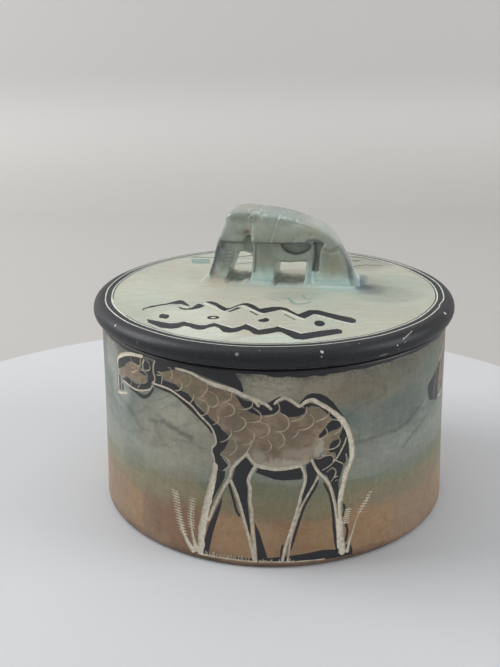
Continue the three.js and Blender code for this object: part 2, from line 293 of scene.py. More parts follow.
def giraffe_scales() -> list[Mark]:
    """The fine scratched loops that pattern the giraffe's coat.

    Returns:
        The marks.
    """
    loops = (
        ((-16.1, 44.9), (-16.25, 43.3), (-17.3, 41.7), (-18.6, 41)),
        ((-15.7, 43.1), (-14.1, 42.2), (-13.6, 40.6), (-14.6, 39.5), (-16.1, 39.4)),
        ((-10.4, 43.6), (-10.5, 42.2), (-11.6, 41.1), (-13, 40.8)),
        ((-18.6, 40.8), (-16.8, 40.6), (-16, 39.4), (-16.4, 37.75), (-17.7, 36.9)),
        ((-12.3, 41), (-10.4, 40.25), (-9.8, 38.8), (-10.9, 37.75), (-12.3, 37.4)),
        ((-14.1, 37.9), (-13.6, 36.9), (-13.9, 35.8), (-15, 35.1)),
        ((-5.7, 41.5), (-5.9, 40.4), (-7, 39.7), (-8.9, 39.5)),
        ((-5.7, 40.1), (-4.1, 38.8), (-3.9, 37.4), (-5, 36.7), (-7.3, 36.5)),
        ((-8.9, 37.9), (-7.5, 37), (-7.5, 35.6), (-8.6, 34.5), (-10, 34)),
        ((-.2, 41.5), (.2, 39.7), (-1.1, 38.5), (-3.2, 37.9)),
        ((-4.6, 36.9), (-2.5, 36.1), (-2, 34.5), (-2.9, 33.3), (-4.3, 32.9)),
        ((.2, 39), (1.8, 37.9), (2.3, 36.1), (1.4, 34.7), (-.5, 34.4)),
        ((-10.9, 34.7), (-10.6, 33.5), (-11.6, 32), (-13.2, 31.1)),
        ((-7.1, 35.1), (-5.5, 34), (-5.5, 32.75), (-6.25, 31.5), (-8.2, 30.9)),
        ((6.25, 40.1), (6.1, 38.6), (5, 37.4), (2.9, 36.8)),
        ((7.1, 38.3), (7.9, 37.2), (7.7, 35.8), (6.4, 34.9), (4.6, 34.7)),
        ((.2, 34.4), (1.25, 32.9), (1.1, 31.3), (0, 30.4)), ((4.5, 34.7), (4.1, 33.6), (3.2, 32.9)),
        ((-2.5, 32.6), (-1.6, 31.1), (-2, 29.9), (-3, 29.4)),
        ((-10.5, 32.6), (-9.5, 31.1), (-9.6, 29.7), (-11.1, 28.1)), ((-6.25, 32.6), (-6.25, 31.1), (-7.3, 29)),
        ((-13.2, 27.9), (-11.8, 27.4), (-11.1, 25.8), (-11.8, 24.7), (-12.7, 24.2)),
        ((11.4, 38.6), (11.1, 37.4), (8.2, 36.3)), ((10.5, 34.9), (11.1, 33.5), (10.5, 32.4), (9.1, 32.1)),
        ((12, 36.5), (13.75, 36.1), (14.6, 34.7), (14.1, 33.5), (12.7, 32.9)),
        ((13.6, 32.2), (14.2, 31.1), (13.75, 29.9), (12.3, 29.3), (11.1, 29.4)),
        ((10, 30.1), (10.8, 29.4), (10.7, 28.3), (9.5, 27.4), (8.75, 27.3)),
        ((10.4, 27.75), (11.8, 27.9), (12.7, 27.2), (12.7, 26.3), (11.8, 25.25), (10, 24.4)),
        ((11.1, 23.8), (12.3, 24.7), (13.2, 23.8), (13, 22.6), (12.1, 21.3)), ((12.7, 22.2), (13.75, 22.4)),
        ((13.2, 21.3), (13.9, 21.5)), ((.1, 36.3), (.5, 36.35)),
        ((-26.4, 46.9), (-25.6, 46.9), (-25.2, 45.6), (-25.4, 44.6), (-26, 43.8)),
        ((-29.75, 45.25), (-28.3, 45.1), (-28.1, 44), (-28.5, 42.2)), ((-29.9, 44.4), (-28.5, 44.5)),
        ((-23.9, 45.1), (-22.8, 44.2), (-22.6, 42.9), (-23.5, 42), (-24.6, 41.7)),
        ((-20.6, 46.1), (-20.1, 45.1), (-20.8, 43.8), (-22.1, 43.1)), ((-19.6, 41.9), (-19.6, 40.8), (-20.8, 39.2)),
    )
    return [faint((.2, .36, .2), *loop) for loop in loops]


def giraffe() -> list[Mark]:
    """The whole giraffe that faces left on the front of the wall."""
    return giraffe_body() + giraffe_legs() + giraffe_head() + giraffe_scales()


def blade(width: tuple[float, ...], points: tuple[Point, ...], low: float, high: float,
          rung: float, step: float = .55) -> list[Mark]:
    """A grass blade with its short rungs, as scratched lines.

    Args:
        width: Its widths from the tip down.
        points: The blade, from its tip down.
        low: The lowest height with a rung.
        high: The highest height with a rung.
        rung: The rungs' width.
        step: The distance from one rung to the next.

    Returns:
        The marks.
    """
    marks: list[Mark] = [pale(width, *points)]
    line = Canvas.smoothed(points, .3)
    z = high
    while z > low:
        s = min(line, key=lambda p: abs(p[1] - z))[0]
        marks.append(Line(Paint.PALE, (.42,), ((s - rung / 2, z + .05), (s + rung / 2, z - .05))))
        z -= step
    return marks


def grass() -> list[Mark]:
    """The grass on both sides of the giraffe, and the tick rows at its feet.

    Returns:
        The marks.
    """
    marks = blade((.2, .3, .8, 1.5), ((-25.6, 16.9), (-25.1, 14.7), (-24.6, 11.9), (-24, 9), (-23.1, 6.1),
                                      (-21.7, 3.6), (-20.6, 2.2)), 5.5, 16.5, 1.9, .7)
    marks += blade((.2, .3, .7, 1.3), ((-19.9, 19.4), (-20.3, 16.9), (-20.8, 14), (-21, 10.4), (-20.8, 7.6),
                                       (-20.3, 4.7), (-19.6, 2.6)), 7.5, 15.8, 1.7, .7)
    marks += blade((.25, .3), ((17.3, 16.9), (16.8, 14.7), (16.1, 11.5)), 9.7, 13.4, 1.4)
    marks += blade((.15, .25, .3, .6, 1), ((25.6, 22.4), (23.9, 18.6), (22.1, 15.8), (20.4, 13.3), (18.9, 10.8),
                                           (17.9, 7.9), (17, 5.1), (16.4, 2.6)), 11.5, 16.4, 1.1, .62)
    marks += ticks(-18, -6, 1.6, 2.7)
    marks.append(blot((-9.8, 1.7), (-6, 1.7), (-6, 2.5), (-9.8, 2.5)))
    marks.append(faint(.4, (-18, 1.7), (-12, 1.75), (-5.9, 1.7)))
    marks.append(pale(.4, (-4.6, 1.75), (0, 1.75), (5, 1.7), (10.7, 1.65)))
    marks += ticks(-4.4, 4.2, 1.55, 2.1)
    return marks


def ticks(start: float, end: float, low: float, high: float, step: float = .58) -> list[Mark]:
    """A row of short upright scratches along the ground.

    Args:
        start: Where the row starts.
        end: Where it ends.
        low: The height of the scratches' feet.
        high: The height of their tips.
        step: The distance from one to the next.

    Returns:
        The marks.
    """
    feet = [start + step * i for i in range(int((end - start) / step))]
    return [pale(.32, (foot, low), (foot + .12 + .2 * math.sin(i * 2.1), high + .3 * math.sin(i * 1.7)))
            for i, foot in enumerate(feet)]


def zebra_body() -> list[Mark]:
    """The second figure's coat, black muzzle and the outline round it, facing left.

    Returns:
        The marks.
    """
    return [
        coat((52, 41.6), (61, 46.1), (64, 46), (78, 41), (84, 40), (94, 40.4), (97.5, 38.4), (99.3, 35), (99.8, 31),
            (99, 27.5), (97, 25), (90, 22), (78, 21), (73, 22), (67.5, 26), (62, 34.6), (52, 31.8)),
        coat((67.6, 25), (73, 22), (71.6, 4), (72.4, 2.4), (69.6, 2.4), (69.2, 14)),
        coat((66.5, 27), (69.5, 24), (68, 18), (63, 6), (62.4, 2.4), (60, 2.6), (66, 21)),
        coat((90.5, 23.5), (97.5, 26), (98, 22), (96.3, 18), (96, 14), (98.4, 2.4), (95.4, 2.4), (92.6, 17.5),
            (90.5, 20.5)),
        coat((86.5, 22.5), (91, 22.5), (90.6, 17), (86.6, 4.5), (86.9, 2.4), (84.3, 2.4), (86.2, 13.5)),
        blot((42.6, 36.5), (43.8, 33.2), (49.4, 31.2), (50.6, 32), (51.5, 41.1), (43.1, 37.6)),
        blot((59, 46.4), (61.5, 47.6), (71, 45.6), (78.6, 41.3), (63, 46)),
        blot((100, 37), (102.6, 33.5), (103.6, 28), (102.4, 20.6)),
        blot((59, 2.6), (100, 2.7), (100.4, 1.3), (59, 1.4)),
        blot((75, 20.9), (86, 20.6), (86.2, 18.6), (82, 17.9), (74, 20)),
        pale((.6, .9, .8), (50.2, 41.3), (61.4, 46.6), (70, 44.7), (78.3, 41.5), (84, 40.6), (94.2, 41), (98, 38.9),
            (99.9, 35.2)),
        pale((.8, 1.3, .9), (99.9, 35.2), (100.6, 31), (96.8, 14), (99, 2.2)),
        pale(.7, (50.6, 31.6), (54, 31.5), (60.2, 33.8), (62, 34), (66.2, 26.6), (63.2, 16), (59.2, 2.4)),
        pale(.6, (72.6, 22.2), (78, 20.6), (84, 20.5), (90, 21.5)),
        pale(.8, (90.2, 21), (91.9, 17.4), (94.7, 2.2)),
        pale(.6, (91.2, 20.6), (90.9, 17), (89.2, 12.9), (87.1, 4.5), (87.3, 2.2)),
        pale(.7, (86.2, 21), (85.5, 13.5), (83.7, 5), (83.7, 2.2)),
        pale(.8, (73.4, 21.8), (73.6, 18), (72.6, 14), (72.3, 4), (73, 2.2)),
        pale(.8, (67.4, 24), (68.7, 14), (69, 2.2)),
        pale(.5, (67.3, 18.4), (64, 9), (62.8, 2.2)),
        pale(.5, (102.3, 34.6), (103.9, 30), (104.2, 25), (103.2, 20.6)),
    ]


def zebra_stripes() -> list[Mark]:
    """The stripes, face and mane ticks of the second figure.

    Returns:
        The marks.
    """
    bars = (
        ((60, 45.6), (59.3, 41), (60, 36)), ((63, 45.6), (62.6, 41), (63, 35.5)),
        ((66, 45), (66.1, 40), (65, 33)), ((69, 44), (69.6, 38.5), (67.5, 30.5)),
        ((72.2, 42.8), (73, 37), (70.7, 30), (69, 26.4)), ((75.4, 41.7), (76.6, 35), (75.4, 28), (74, 23)),
        ((78.6, 40.6), (80.2, 34), (79.4, 27), (78.4, 22.6)), ((82, 39.9), (84, 34), (83.4, 28), (82.6, 22.6)),
        ((85.6, 40), (88.2, 35), (88.4, 29), (86.6, 23.6)), ((89, 40.2), (92.2, 37), (93.3, 33), (91, 28)),
        ((92.4, 40), (95.8, 37), (96.8, 32.5), (93.4, 26.6)), ((98.6, 34.6), (97.4, 29.5), (93.8, 25)),
    )
    marks: list[Mark] = []
    for bar in bars:
        marks.append(black((.7, 1.7, 1.5, .6), *bar))
        edge = tuple((s + .95, z) for s, z in bar)
        marks.append(pale((.2, .3, .2), *edge))
    for low, (s0, s1) in ((20.2, (68, 73)), (17.4, (68.2, 72.8)), (14.6, (68.8, 72)), (11.6, (69, 71.6)),
                          (8.6, (69.2, 71.6)), (5.8, (69.2, 71.6))):
        marks.append(black((.5, 1, .5), (s0, low + .5), ((s0 + s1) / 2, low - .2), (s1, low + .4)))
        marks.append(black((.5, 1, .5), (s0 + 24, low + .3), ((s0 + s1) / 2 + 24.2, low - .2),
                           (s1 + 24.4, low + .5)))
    for low, shift in ((19, 0), (15.6, -1.4), (12, -2.8), (8.4, -4.3)):
        marks.append(black((.4, .9, .4), (65.6 + shift, low + .3), (66.9 + shift, low - .3), (68 + shift, low + .2)))
        marks.append(black((.4, .9, .4), (86.4 + shift * .5, low + .3), (88 + shift * .5, low - .3),
                           (89.6 + shift * .5, low + .2)))
    for i, (z0, z1) in enumerate(((39.8, 43.2), (38.2, 41.4), (36.4, 38.6), (34.4, 36), (33, 34))):
        marks.append(black((.5, .9, .4), (52.2, z0), (55, (z0 + z1) / 2 + .2), (58.4 - .5 * i, z1)))
    marks += [
        pale(.35, (50.9, 31.9), (51.6, 35), (52, 38.2), (52.6, 41.4)),
        pale(.3, (49.6, 32.2), (50.2, 35.4), (50.8, 39.6)),
        faint(.3, (46.4, 33.2), (47.6, 36.4), (48.6, 39.4)),
        faint(.3, (50.3, 33.4), (50.5, 36.4), (50.9, 39.6)),
        pale(.4, *oval((56.9, 41), .8, .6, 10), (57.7, 41)),
        black(.6, (56.8, 41), (57, 41)),
        pale(.55, (58.9, 45.4), (58.2, 46.9), (59.2, 47.6), (60.4, 46.6), (60.8, 45.4)),
        pale(.45, (61.8, 46), (61.9, 47.2), (63, 47.6), (63.6, 46.4)),
    ]
    marks += [pale(.26, (62 + 1.25 * i, 47.3 - .33 * i), (62.4 + 1.25 * i, 46.1 - .33 * i)) for i in range(13)]
    return marks


def wall_marks() -> list[Mark]:
    """Everything that is drawn round the wall, from the front and then to the right.

    Returns:
        The marks.
    """
    second = moved(giraffe(), lambda p: (167 + .96 * p[0] + .5 * math.sin(p[1] * .16),
                                         1.2 + .955 * p[1] + .35 * math.sin(p[0] * .21)))
    clumps = moved(grass(), lambda p: (168 + p[0], p[1]))
    right = moved(grass()[:28], lambda p: (132.4 + p[0], p[1] * .92 + .3))
    far = moved(grass()[:28], lambda p: (227.6 + p[0], p[1] * .88 + .4))
    return giraffe() + grass() + zebra_body() + zebra_stripes() + second + clumps + right + far


def lid_band() -> list[Mark]:
    """The zigzag band with its dots on the front of the lid, seen from above.

    Returns:
        The marks.
    """
    return [
        blot((-32, -17.3), (-32, -15.2), (-30.2, -13.2), (-26.4, -11.3), (-23.5, -8.6), (-22.5, -9.4), (-20.6, -13.8),
            (-21.2, -13.8), (-22.9, -12.1), (-25.2, -11.9), (-28.3, -13.4), (-31.4, -15.5)),
        blot((-23.7, -13.8), (-22.3, -15.3), (-21.2, -15.6), (-20, -14.6), (-19.3, -12.6), (-18.5, -11.9),
            (-17.6, -12.8), (-17.1, -14), (-18.2, -15.5), (-20, -16.6), (-21.8, -16.7), (-22.9, -15.9)),
        blot((-17.2, -10.3), (-15.6, -10), (-14.5, -10.9), (-11.8, -15.5), (-11, -15.7), (-7.9, -11.9), (-6.6, -11.7),
            (-5.2, -13.2), (-3.7, -16.3), (-.6, -15), (1.3, -15), (2.8, -16.1), (5.3, -20.9), (8.2, -17.7),
            (10.2, -17.8), (15.2, -22.1), (17.7, -23.8), (18.6, -25.5), (18.2, -27.5), (17.3, -27.8), (15.2, -26.3),
            (10.2, -21.3), (9, -20.9), (6.7, -24.2), (5.5, -23), (2.5, -18), (1.3, -17.3), (-2.7, -19.8),
            (-3.5, -19.4), (-7, -13.8), (-8.1, -13.2), (-9.5, -15.2), (-12.2, -17.9), (-12.9, -17.3), (-14.5, -13.6)),
        blot((-9, -15), (-8.1, -15.6), (-10.9, -18.7), (-11.3, -18.2)),
        black(.5, (-6, -18.2), (-4.3, -21.1)),
        black(.35, (2.1, -20.9), (4.4, -25)),
        blot((-30.2, -23.4), (-24.5, -26.7), (-22.9, -26.5), (-21.6, -25.5), (-20.2, -25.5), (-17.2, -28.2),
            (-16.2, -28.2), (-15, -27.1), (-13.9, -26.7), (-12.5, -27.8), (-11, -29.8), (-9.8, -30.5), (-8.3, -29.4),
            (-7, -27.8), (-5.6, -29.4), (-4.1, -31.9), (-.6, -30.3), (.2, -29.4), (1.7, -30.2), (5.2, -34.8),
            (10.2, -32.7), (13.6, -31.7), (14.6, -32.7), (14.4, -34.8), (5.5, -38.8), (3.6, -38.2), (.9, -33.6),
            (.2, -33.4), (-2.2, -34.8), (-4.1, -35.3), (-5.2, -34.8), (-6.4, -32.3), (-7.5, -31.5), (-9.1, -33.2),
            (-10.6, -33.7), (-12.2, -33), (-13.1, -30.5), (-14.1, -29.2), (-15.2, -29.8), (-16.8, -31.4),
            (-17.9, -31.4), (-19.1, -30.5), (-20, -29.2), (-21.2, -28.6), (-22.5, -30.2), (-24.1, -30.6),
            (-26.4, -29.8), (-29.7, -25.9)),
        blot(*oval((-26.8, -21.2), .8, 1.7, 12)),
        blot(*oval((-25.9, -21.7), .8, 1.7, 12)),
        blot(*oval((-14.7, -22.7), 1.5, 1.4)),
        Area(Paint.PALE, oval((-14.7, -22.7), .62, .55, 10)),
        blot((-4.3, -25.3), (-3.7, -24.3), (-3.1, -24.2), (-2.6, -23.4), (-1.9, -23.8), (-1.5, -24.8), (-1.8, -25.9),
            (-2.7, -26.5), (-3.8, -26.2)),
        blot(*oval((9.9, -27.8), 1.25, 2.2)),
        Line(Paint.PALE, (.74,), ((-17.5, -11), (-12.2, -18.4), (-8.3, -13.6), (-3, -20.4), (1.5, -18.2),
                                 (6.5, -25), (9.2, -21.6), (17.5, -28.5)), False),
        Line(Paint.PALE, (.6,), ((-26.4, -13.1), (-25.2, -12.7), (-23.8, -12.6),
                                 (-22.5, -13.3), (-21, -14.8), (-20.2, -14.4), (-19.3, -12.4)), False),
        Line(Paint.PALE, (.35,), ((-11.4, -17.4), (-8.3, -13.9)), False),
        Line(Paint.PALE, (.8,), ((-27.4, -24.4), (-24.5, -26.1), (-21.4, -25), (-17.5, -27.8),
                                 (-14.5, -26.1), (-10.2, -30.1), (-7, -27.3), (-4.1, -31.3), (.2, -29),
                                 (5.2, -34.1), (13.6, -31.2)), False),
    ]


def back_band() -> list[Mark]:
    """The thinner band behind the elephant, with a block of drip colour at its end.

    Returns:
        The marks.
    """
    inner = ((31, 21.5), (28, 22.3), (26.5, 22.6), (24, 21.8), (21, 20.2), (18, 20), (15, 23), (12, 26.6),
             (9, 27.6), (6, 28.8), (3, 27.4), (0, 26.8), (-3, 27.8), (-5, 26.6), (-9, 25.3), (-13, 25), (-16, 26))
    outer = ((27.5, 29.6), (24, 31.6), (20, 32.9), (17, 31.4), (14, 33.2), (11, 34.8), (8, 33.1), (5, 34.4),
             (2, 35.6), (-1, 34.3), (-4, 35), (-8, 33.4), (-12, 32.6), (-16.5, 32.4), (-22.5, 33.2))
    return [
        black((.5, .8, 1.1, .9, 1.2, .6, .5), *inner),
        black((.5, .9, 1.2, .8, 1.1, .7, .8), *outer),
        Line(Paint.PALE, (.6,), tuple((x, y + .85) for x, y in inner[3:16]), False),
        Line(Paint.PALE, (.6,), tuple((x, y - .95) for x, y in outer[1:13]), False),
        blot(*oval((24.3, 27.3), 1.3, .75)), blot(*oval((13.6, 29.4), 1.4, 1.1)),
        Area(Paint.PALE, oval((13.6, 29.4), .6, .45, 10)), blot(*oval((2.4, 31.2), 1.4, .9)),
        blot(*oval((-12.6, 29), 1.3, .9)),
        Area(Paint.DRIP, ((-22.9, 31.2), (-17.4, 30.9), (-17.3, 25.9), (-19.6, 25.6), (-22.2, 26))),
        Line(Paint.DRIP, (.8, .5), ((-9.8, 31.2), (-7.5, 31.3), (-5.2, 30.6))),
    ]


def drips() -> list[Mark]:
    """The thin trails of drip colour in front of the elephant.

    Returns:
        The marks.
    """
    return [
        Line(Paint.DRIP, (.5, .8, 1.1, .6), ((2.2, -8), (3.5, -7.8), (4.1, -9.7), (4.5, -11.8), (5.7, -13),
                                              (7.9, -12.3), (9, -11.1))),
        Line(Paint.DRIP, (.9, .6, .5), ((7.3, -5.6), (7.5, -7.5), (8.1, -9), (9.4, -8.4))),
        Line(Paint.DRIP, (.3, .6, .3), ((-1.5, -7.8), (-.5, -8.7), (1.2, -10))),
    ]


def lid_marks() -> list[Mark]:
    """Everything that is drawn on the plate."""
    return lid_band() + back_band() + drips()


class Canvas:
    """A flat sheet of triangles, cut along the edge of every mark that is drawn on it."""

    GROOVE = 0.18  # the depth of a scratched line
    SAMPLE = 0.6  # the steps of a curve
    EDGE = 1.1  # the longest step along the outline of an area
    SLIVER = 0.003  # a triangle that is flatter than this is left out

    def __init__(self, low: Point, high: Point, seed: float) -> None:
        """Starts an empty sheet.

        Args:
            low: The lowest coordinates that a mark may reach.
            high: The highest coordinates that a mark may reach.
            seed: Where the brush's unevenness is read.
        """
        self.low, self.high, self.seed = low, high, seed
        self.points: list[Vector] = []
        self.faces: list[tuple[int, ...]] = []
        self.paints: list[Paint] = []
        self.edges: list[tuple[int, int]] = []
        self.rings: list[tuple[Paint, np.ndarray]] = []

    @staticmethod
    def smoothed(points: tuple[Point, ...], step: float) -> list[Point]:
        """The curve that runs through the points, as short steps.

        Args:
            points: The points to run through.
            step: The distance between two steps.

        Returns:
            The points of the curve.
        """
        ends = [points[0], *points, points[-1]]
        out: list[Point] = []
        for a, b, c, d in zip(ends, ends[1:], ends[2:], ends[3:]):
            count = max(1, round(math.dist(b, c) / step))
            for i in range(count):
                t = i / count
                out.append(tuple(.5 * (2 * b[k] + (c[k] - a[k]) * t
                                       + (2 * a[k] - 5 * b[k] + 4 * c[k] - d[k]) * t * t
                                       + (3 * b[k] - a[k] - 3 * c[k] + d[k]) * t ** 3) for k in (0, 1)))
        out.append(points[-1])
        return out

    def clamp(self, x: float, y: float) -> Vector:
        """The point, held inside the sheet."""
        return Vector((min(max(x, self.low[0]), self.high[0]), min(max(y, self.low[1]), self.high[1])))

    def triangle(self, a: Vector, b: Vector, c: Vector, paint: Paint) -> None:
        """Adds one painted triangle, turned the right way round.

        Args:
            a: The first corner.
            b: The second corner.
            c: The third corner.
            paint: What lies on it.
        """
        area = (b - a).cross(c - a)
        if abs(area) < self.SLIVER * max((b - a).length, (c - b).length, (a - c).length):
            return
        at = len(self.points)
        self.points += [a, b, c]
        self.faces.append((at, at + 1, at + 2) if area > 0 else (at, at + 2, at + 1))
        self.paints.append(paint)

    def add(self, mark: Mark) -> None:
        """Draws one mark.

        Args:
            mark: The mark.
        """
        if isinstance(mark, Area):
            ring: list[Vector] = []
            for a, b in zip(mark.points, (*mark.points[1:], mark.points[0])):
                count = max(1, math.ceil(math.dist(a, b) / self.EDGE))
                ring += [self.clamp(*Vector(a).lerp(Vector(b), i / count)) for i in range(count)]
            at = len(self.points)
            self.points += ring
            self.edges += [(at + i, at + (i + 1) % len(ring)) for i in range(len(ring))]
            self.rings.append((mark.paint, np.array(ring)))
            return
        line = self.smoothed(mark.points, self.SAMPLE) if mark.smooth else list(mark.points)
        sides: list[tuple[Vector, Vector]] = []
        for i, p in enumerate(line):
            before, after = Vector(line[max(i - 1, 0)]), Vector(line[min(i + 1, len(line) - 1)])
            along = (after - before).normalized()
            spot = i / max(len(line) - 1, 1) * (len(mark.width) - 1)
            k = min(int(spot), len(mark.width) - 1)
            width = mark.width[k] + (mark.width[min(k + 1, len(mark.width) - 1)] - mark.width[k]) * (spot - k)
            slim = .72 + .2 * min(1, width / 1.2) if mark.paint == Paint.PALE else 1
            width *= slim * (1 + .22 * noise.noise(Vector((p[0] * .9, p[1] * .9, self.seed))))
            across = Vector((-along.y, along.x)) * width / 2
            shift = across * .25 * noise.noise(Vector((p[0] * .45, p[1] * .45, self.seed + 9)))
            at = Vector(p) + shift
            sides.append((self.clamp(*(at + across)), self.clamp(*(at - across))))
        first = self.cap(line[1 if len(line) > 1 else 0], line[0], sides[0])
        last = self.cap(line[-2], line[-1], sides[-1])
        for (a, b), (c, d) in zip(sides, sides[1:]):
            self.triangle(a, b, d, mark.paint)
            self.triangle(a, d, c, mark.paint)
        for fan in (first, last):
            for b, c in zip(fan[1:], fan[2:]):
                self.triangle(fan[0], b, c, mark.paint)

    def cap(self, before: Point, end: Point, side: tuple[Vector, Vector]) -> list[Vector]:
        """The round end of a stroke, as a fan from one of its sides.

        Args:
            before: The point before the end.
            end: The stroke's end.
            side: The stroke's two sides there.

        Returns:
            The fan's points.
        """
        out = (Vector(end) - Vector(before)).normalized() * (side[0] - side[1]).length / 2
        middle, half = (side[0] + side[1]) / 2, (side[0] - side[1]) / 2
        fan = [side[0]]
        for k in (1, 2, 3):
            turn = math.pi * k / 4
            fan.append(self.clamp(*(middle + half * math.cos(turn) + out * math.sin(turn))))
        return [*fan, side[1]]

    def cut(self, grid: list[Point]) -> tuple[list[Vector], list[tuple[int, ...]], list[Paint]]:
        """Cuts the sheet.

        Args:
            grid: The sheet's own points, its border among them.

        Returns:
            The points, the triangles, and what lies on each triangle.
        """
        points = [*self.points, *(Vector(p) for p in grid)]
        verts, _, faces, _, _, sources = delaunay_2d_cdt(points, self.edges, self.faces, 0, 1e-4, True)
        middles = [sum((verts[i] for i in face), Vector((0, 0))) / len(face) for face in faces]
        paints = [max((self.paints[i] for i in found if self.covers(i, middle)), default=Paint.STONE)
                  for middle, found in zip(middles, sources)]
        at, laid = np.array(middles), np.array(paints)
        for paint, ring in self.rings:
            laid[self.inside(at, ring)] = np.maximum(laid[self.inside(at, ring)], paint)
        return verts, faces, [Paint(int(p)) for p in laid]

    @staticmethod
    def inside(at: np.ndarray, ring: np.ndarray) -> np.ndarray:
        """Which points lie inside a closed outline.

        Args:
            at: The points, one to a row.
            ring: The outline's corners, one to a row.

        Returns:
            True for each point inside.
        """
        odd = np.zeros(len(at), bool)
        near = np.flatnonzero(((at > ring.min(0)) & (at < ring.max(0))).all(1))
        x, y = at[near].T
        hit = np.zeros(len(near), bool)
        for (ax, ay), (bx, by) in zip(ring, np.roll(ring, -1, 0)):
            if ay != by:
                hit ^= ((ay > y) != (by > y)) & (x < (bx - ax) * (y - ay) / (by - ay) + ax)
        odd[near] = hit
        return odd

    def covers(self, index: int, at: Vector) -> bool:
        """Whether a drawn triangle lies over a point."""
        a, b, c = (self.points[i] for i in self.faces[index])
        return min((b - a).cross(at - a), (c - b).cross(at - b), (a - c).cross(at - c)) > -1e-3

    def sheet(self, bm: Mesh, grid: list[Point]) -> None:
        """Puts the cut sheet into a mesh, at z = 0, with the pale lines sunk as grooves.

        Args:
            bm: The mesh that gets the sheet.
            grid: The sheet's own points.
        """
        layer = bm.faces.layers.int["paint"]
        verts, faces, paints = self.cut(grid)
        made = [bm.verts.new(v.to_3d()) for v in verts]
        sunk = []
        for corners, paint in zip(faces, paints):
            face = bm.faces.new([made[i] for i in corners])
            face[layer] = paint
            if paint >= Paint.FAINT:
                sunk.append(face)
        if sunk:
            out = bmesh.ops.extrude_face_region(bm, geom=sunk)
            moved_verts = [g for g in out["geom"] if isinstance(g, bmesh.types.BMVert)]
            bmesh.ops.delete(bm, geom=[f for f in sunk if f.is_valid], context="FACES_ONLY")
            bmesh.ops.translate(bm, verts=moved_verts, vec=(0, 0, -self.GROOVE))
        side = bm.faces.layers.int["side"]
        for face in bm.faces:
            heights = [vert.co.z for vert in face.verts]
            if max(heights) - min(heights) > self.GROOVE / 2:
                face[side] = 1
                face[layer] = Paint.FAINT


Value: TypeAlias = "Num | float"
Wash: TypeAlias = tuple[float, float, float, float, float, Tone]


class Num:
    """A shader socket in Python expressions, each of which adds a Math node."""

    def __init__(self, shader: Shader, socket: bpy.types.NodeSocket) -> None:
        """Wraps a socket of a shader's node."""
        self.shader, self.socket = shader, socket

    def math(self, operation: str, *values: Value, clamp: bool = False) -> Num:
        """The result of a Math node on these values."""
        return self.shader.node("ShaderNodeMath", {"operation": operation, "use_clamp": clamp},
                                dict(enumerate(values)))

    def __add__(self, other: Value) -> Num:
        """self + other."""
        return self.math("ADD", self, other)

    __radd__ = __add__

    def __sub__(self, other: Value) -> Num:
        """self - other."""
        return self.math("SUBTRACT", self, other)

    def __rsub__(self, other: Value) -> Num:
        """other - self."""
        return self.math("SUBTRACT", other, self)

    def __mul__(self, other: Value) -> Num:
        """self * other."""
        return self.math("MULTIPLY", self, other)

    __rmul__ = __mul__

    def __truediv__(self, other: Value) -> Num:
        """self / other."""
        return self.math("DIVIDE", self, other)

    def __pow__(self, other: Value) -> Num:
        """self ** other."""
        return self.math("POWER", self, other)

    def __abs__(self) -> Num:
        """The value without its sign."""
        return self.math("ABSOLUTE", self)

    def clamp(self) -> Num:
        """The value, held between 0 and 1."""
        return self.math("ADD", self, 0.0, clamp=True)

    def sine(self) -> Num:
        """The sine of the value."""
        return self.math("SINE", self)

    def most(self, other: Value) -> Num:
        """The higher of two values."""
        return self.math("MAXIMUM", self, other)

    def step(self, low: float, high: float) -> Num:
        """A smooth step that is 0 at low and 1 at high."""
        return self.shader.node("ShaderNodeMapRange", {"interpolation_type": "SMOOTHSTEP"},
                                {"Value": self, "From Min": low, "From Max": high})


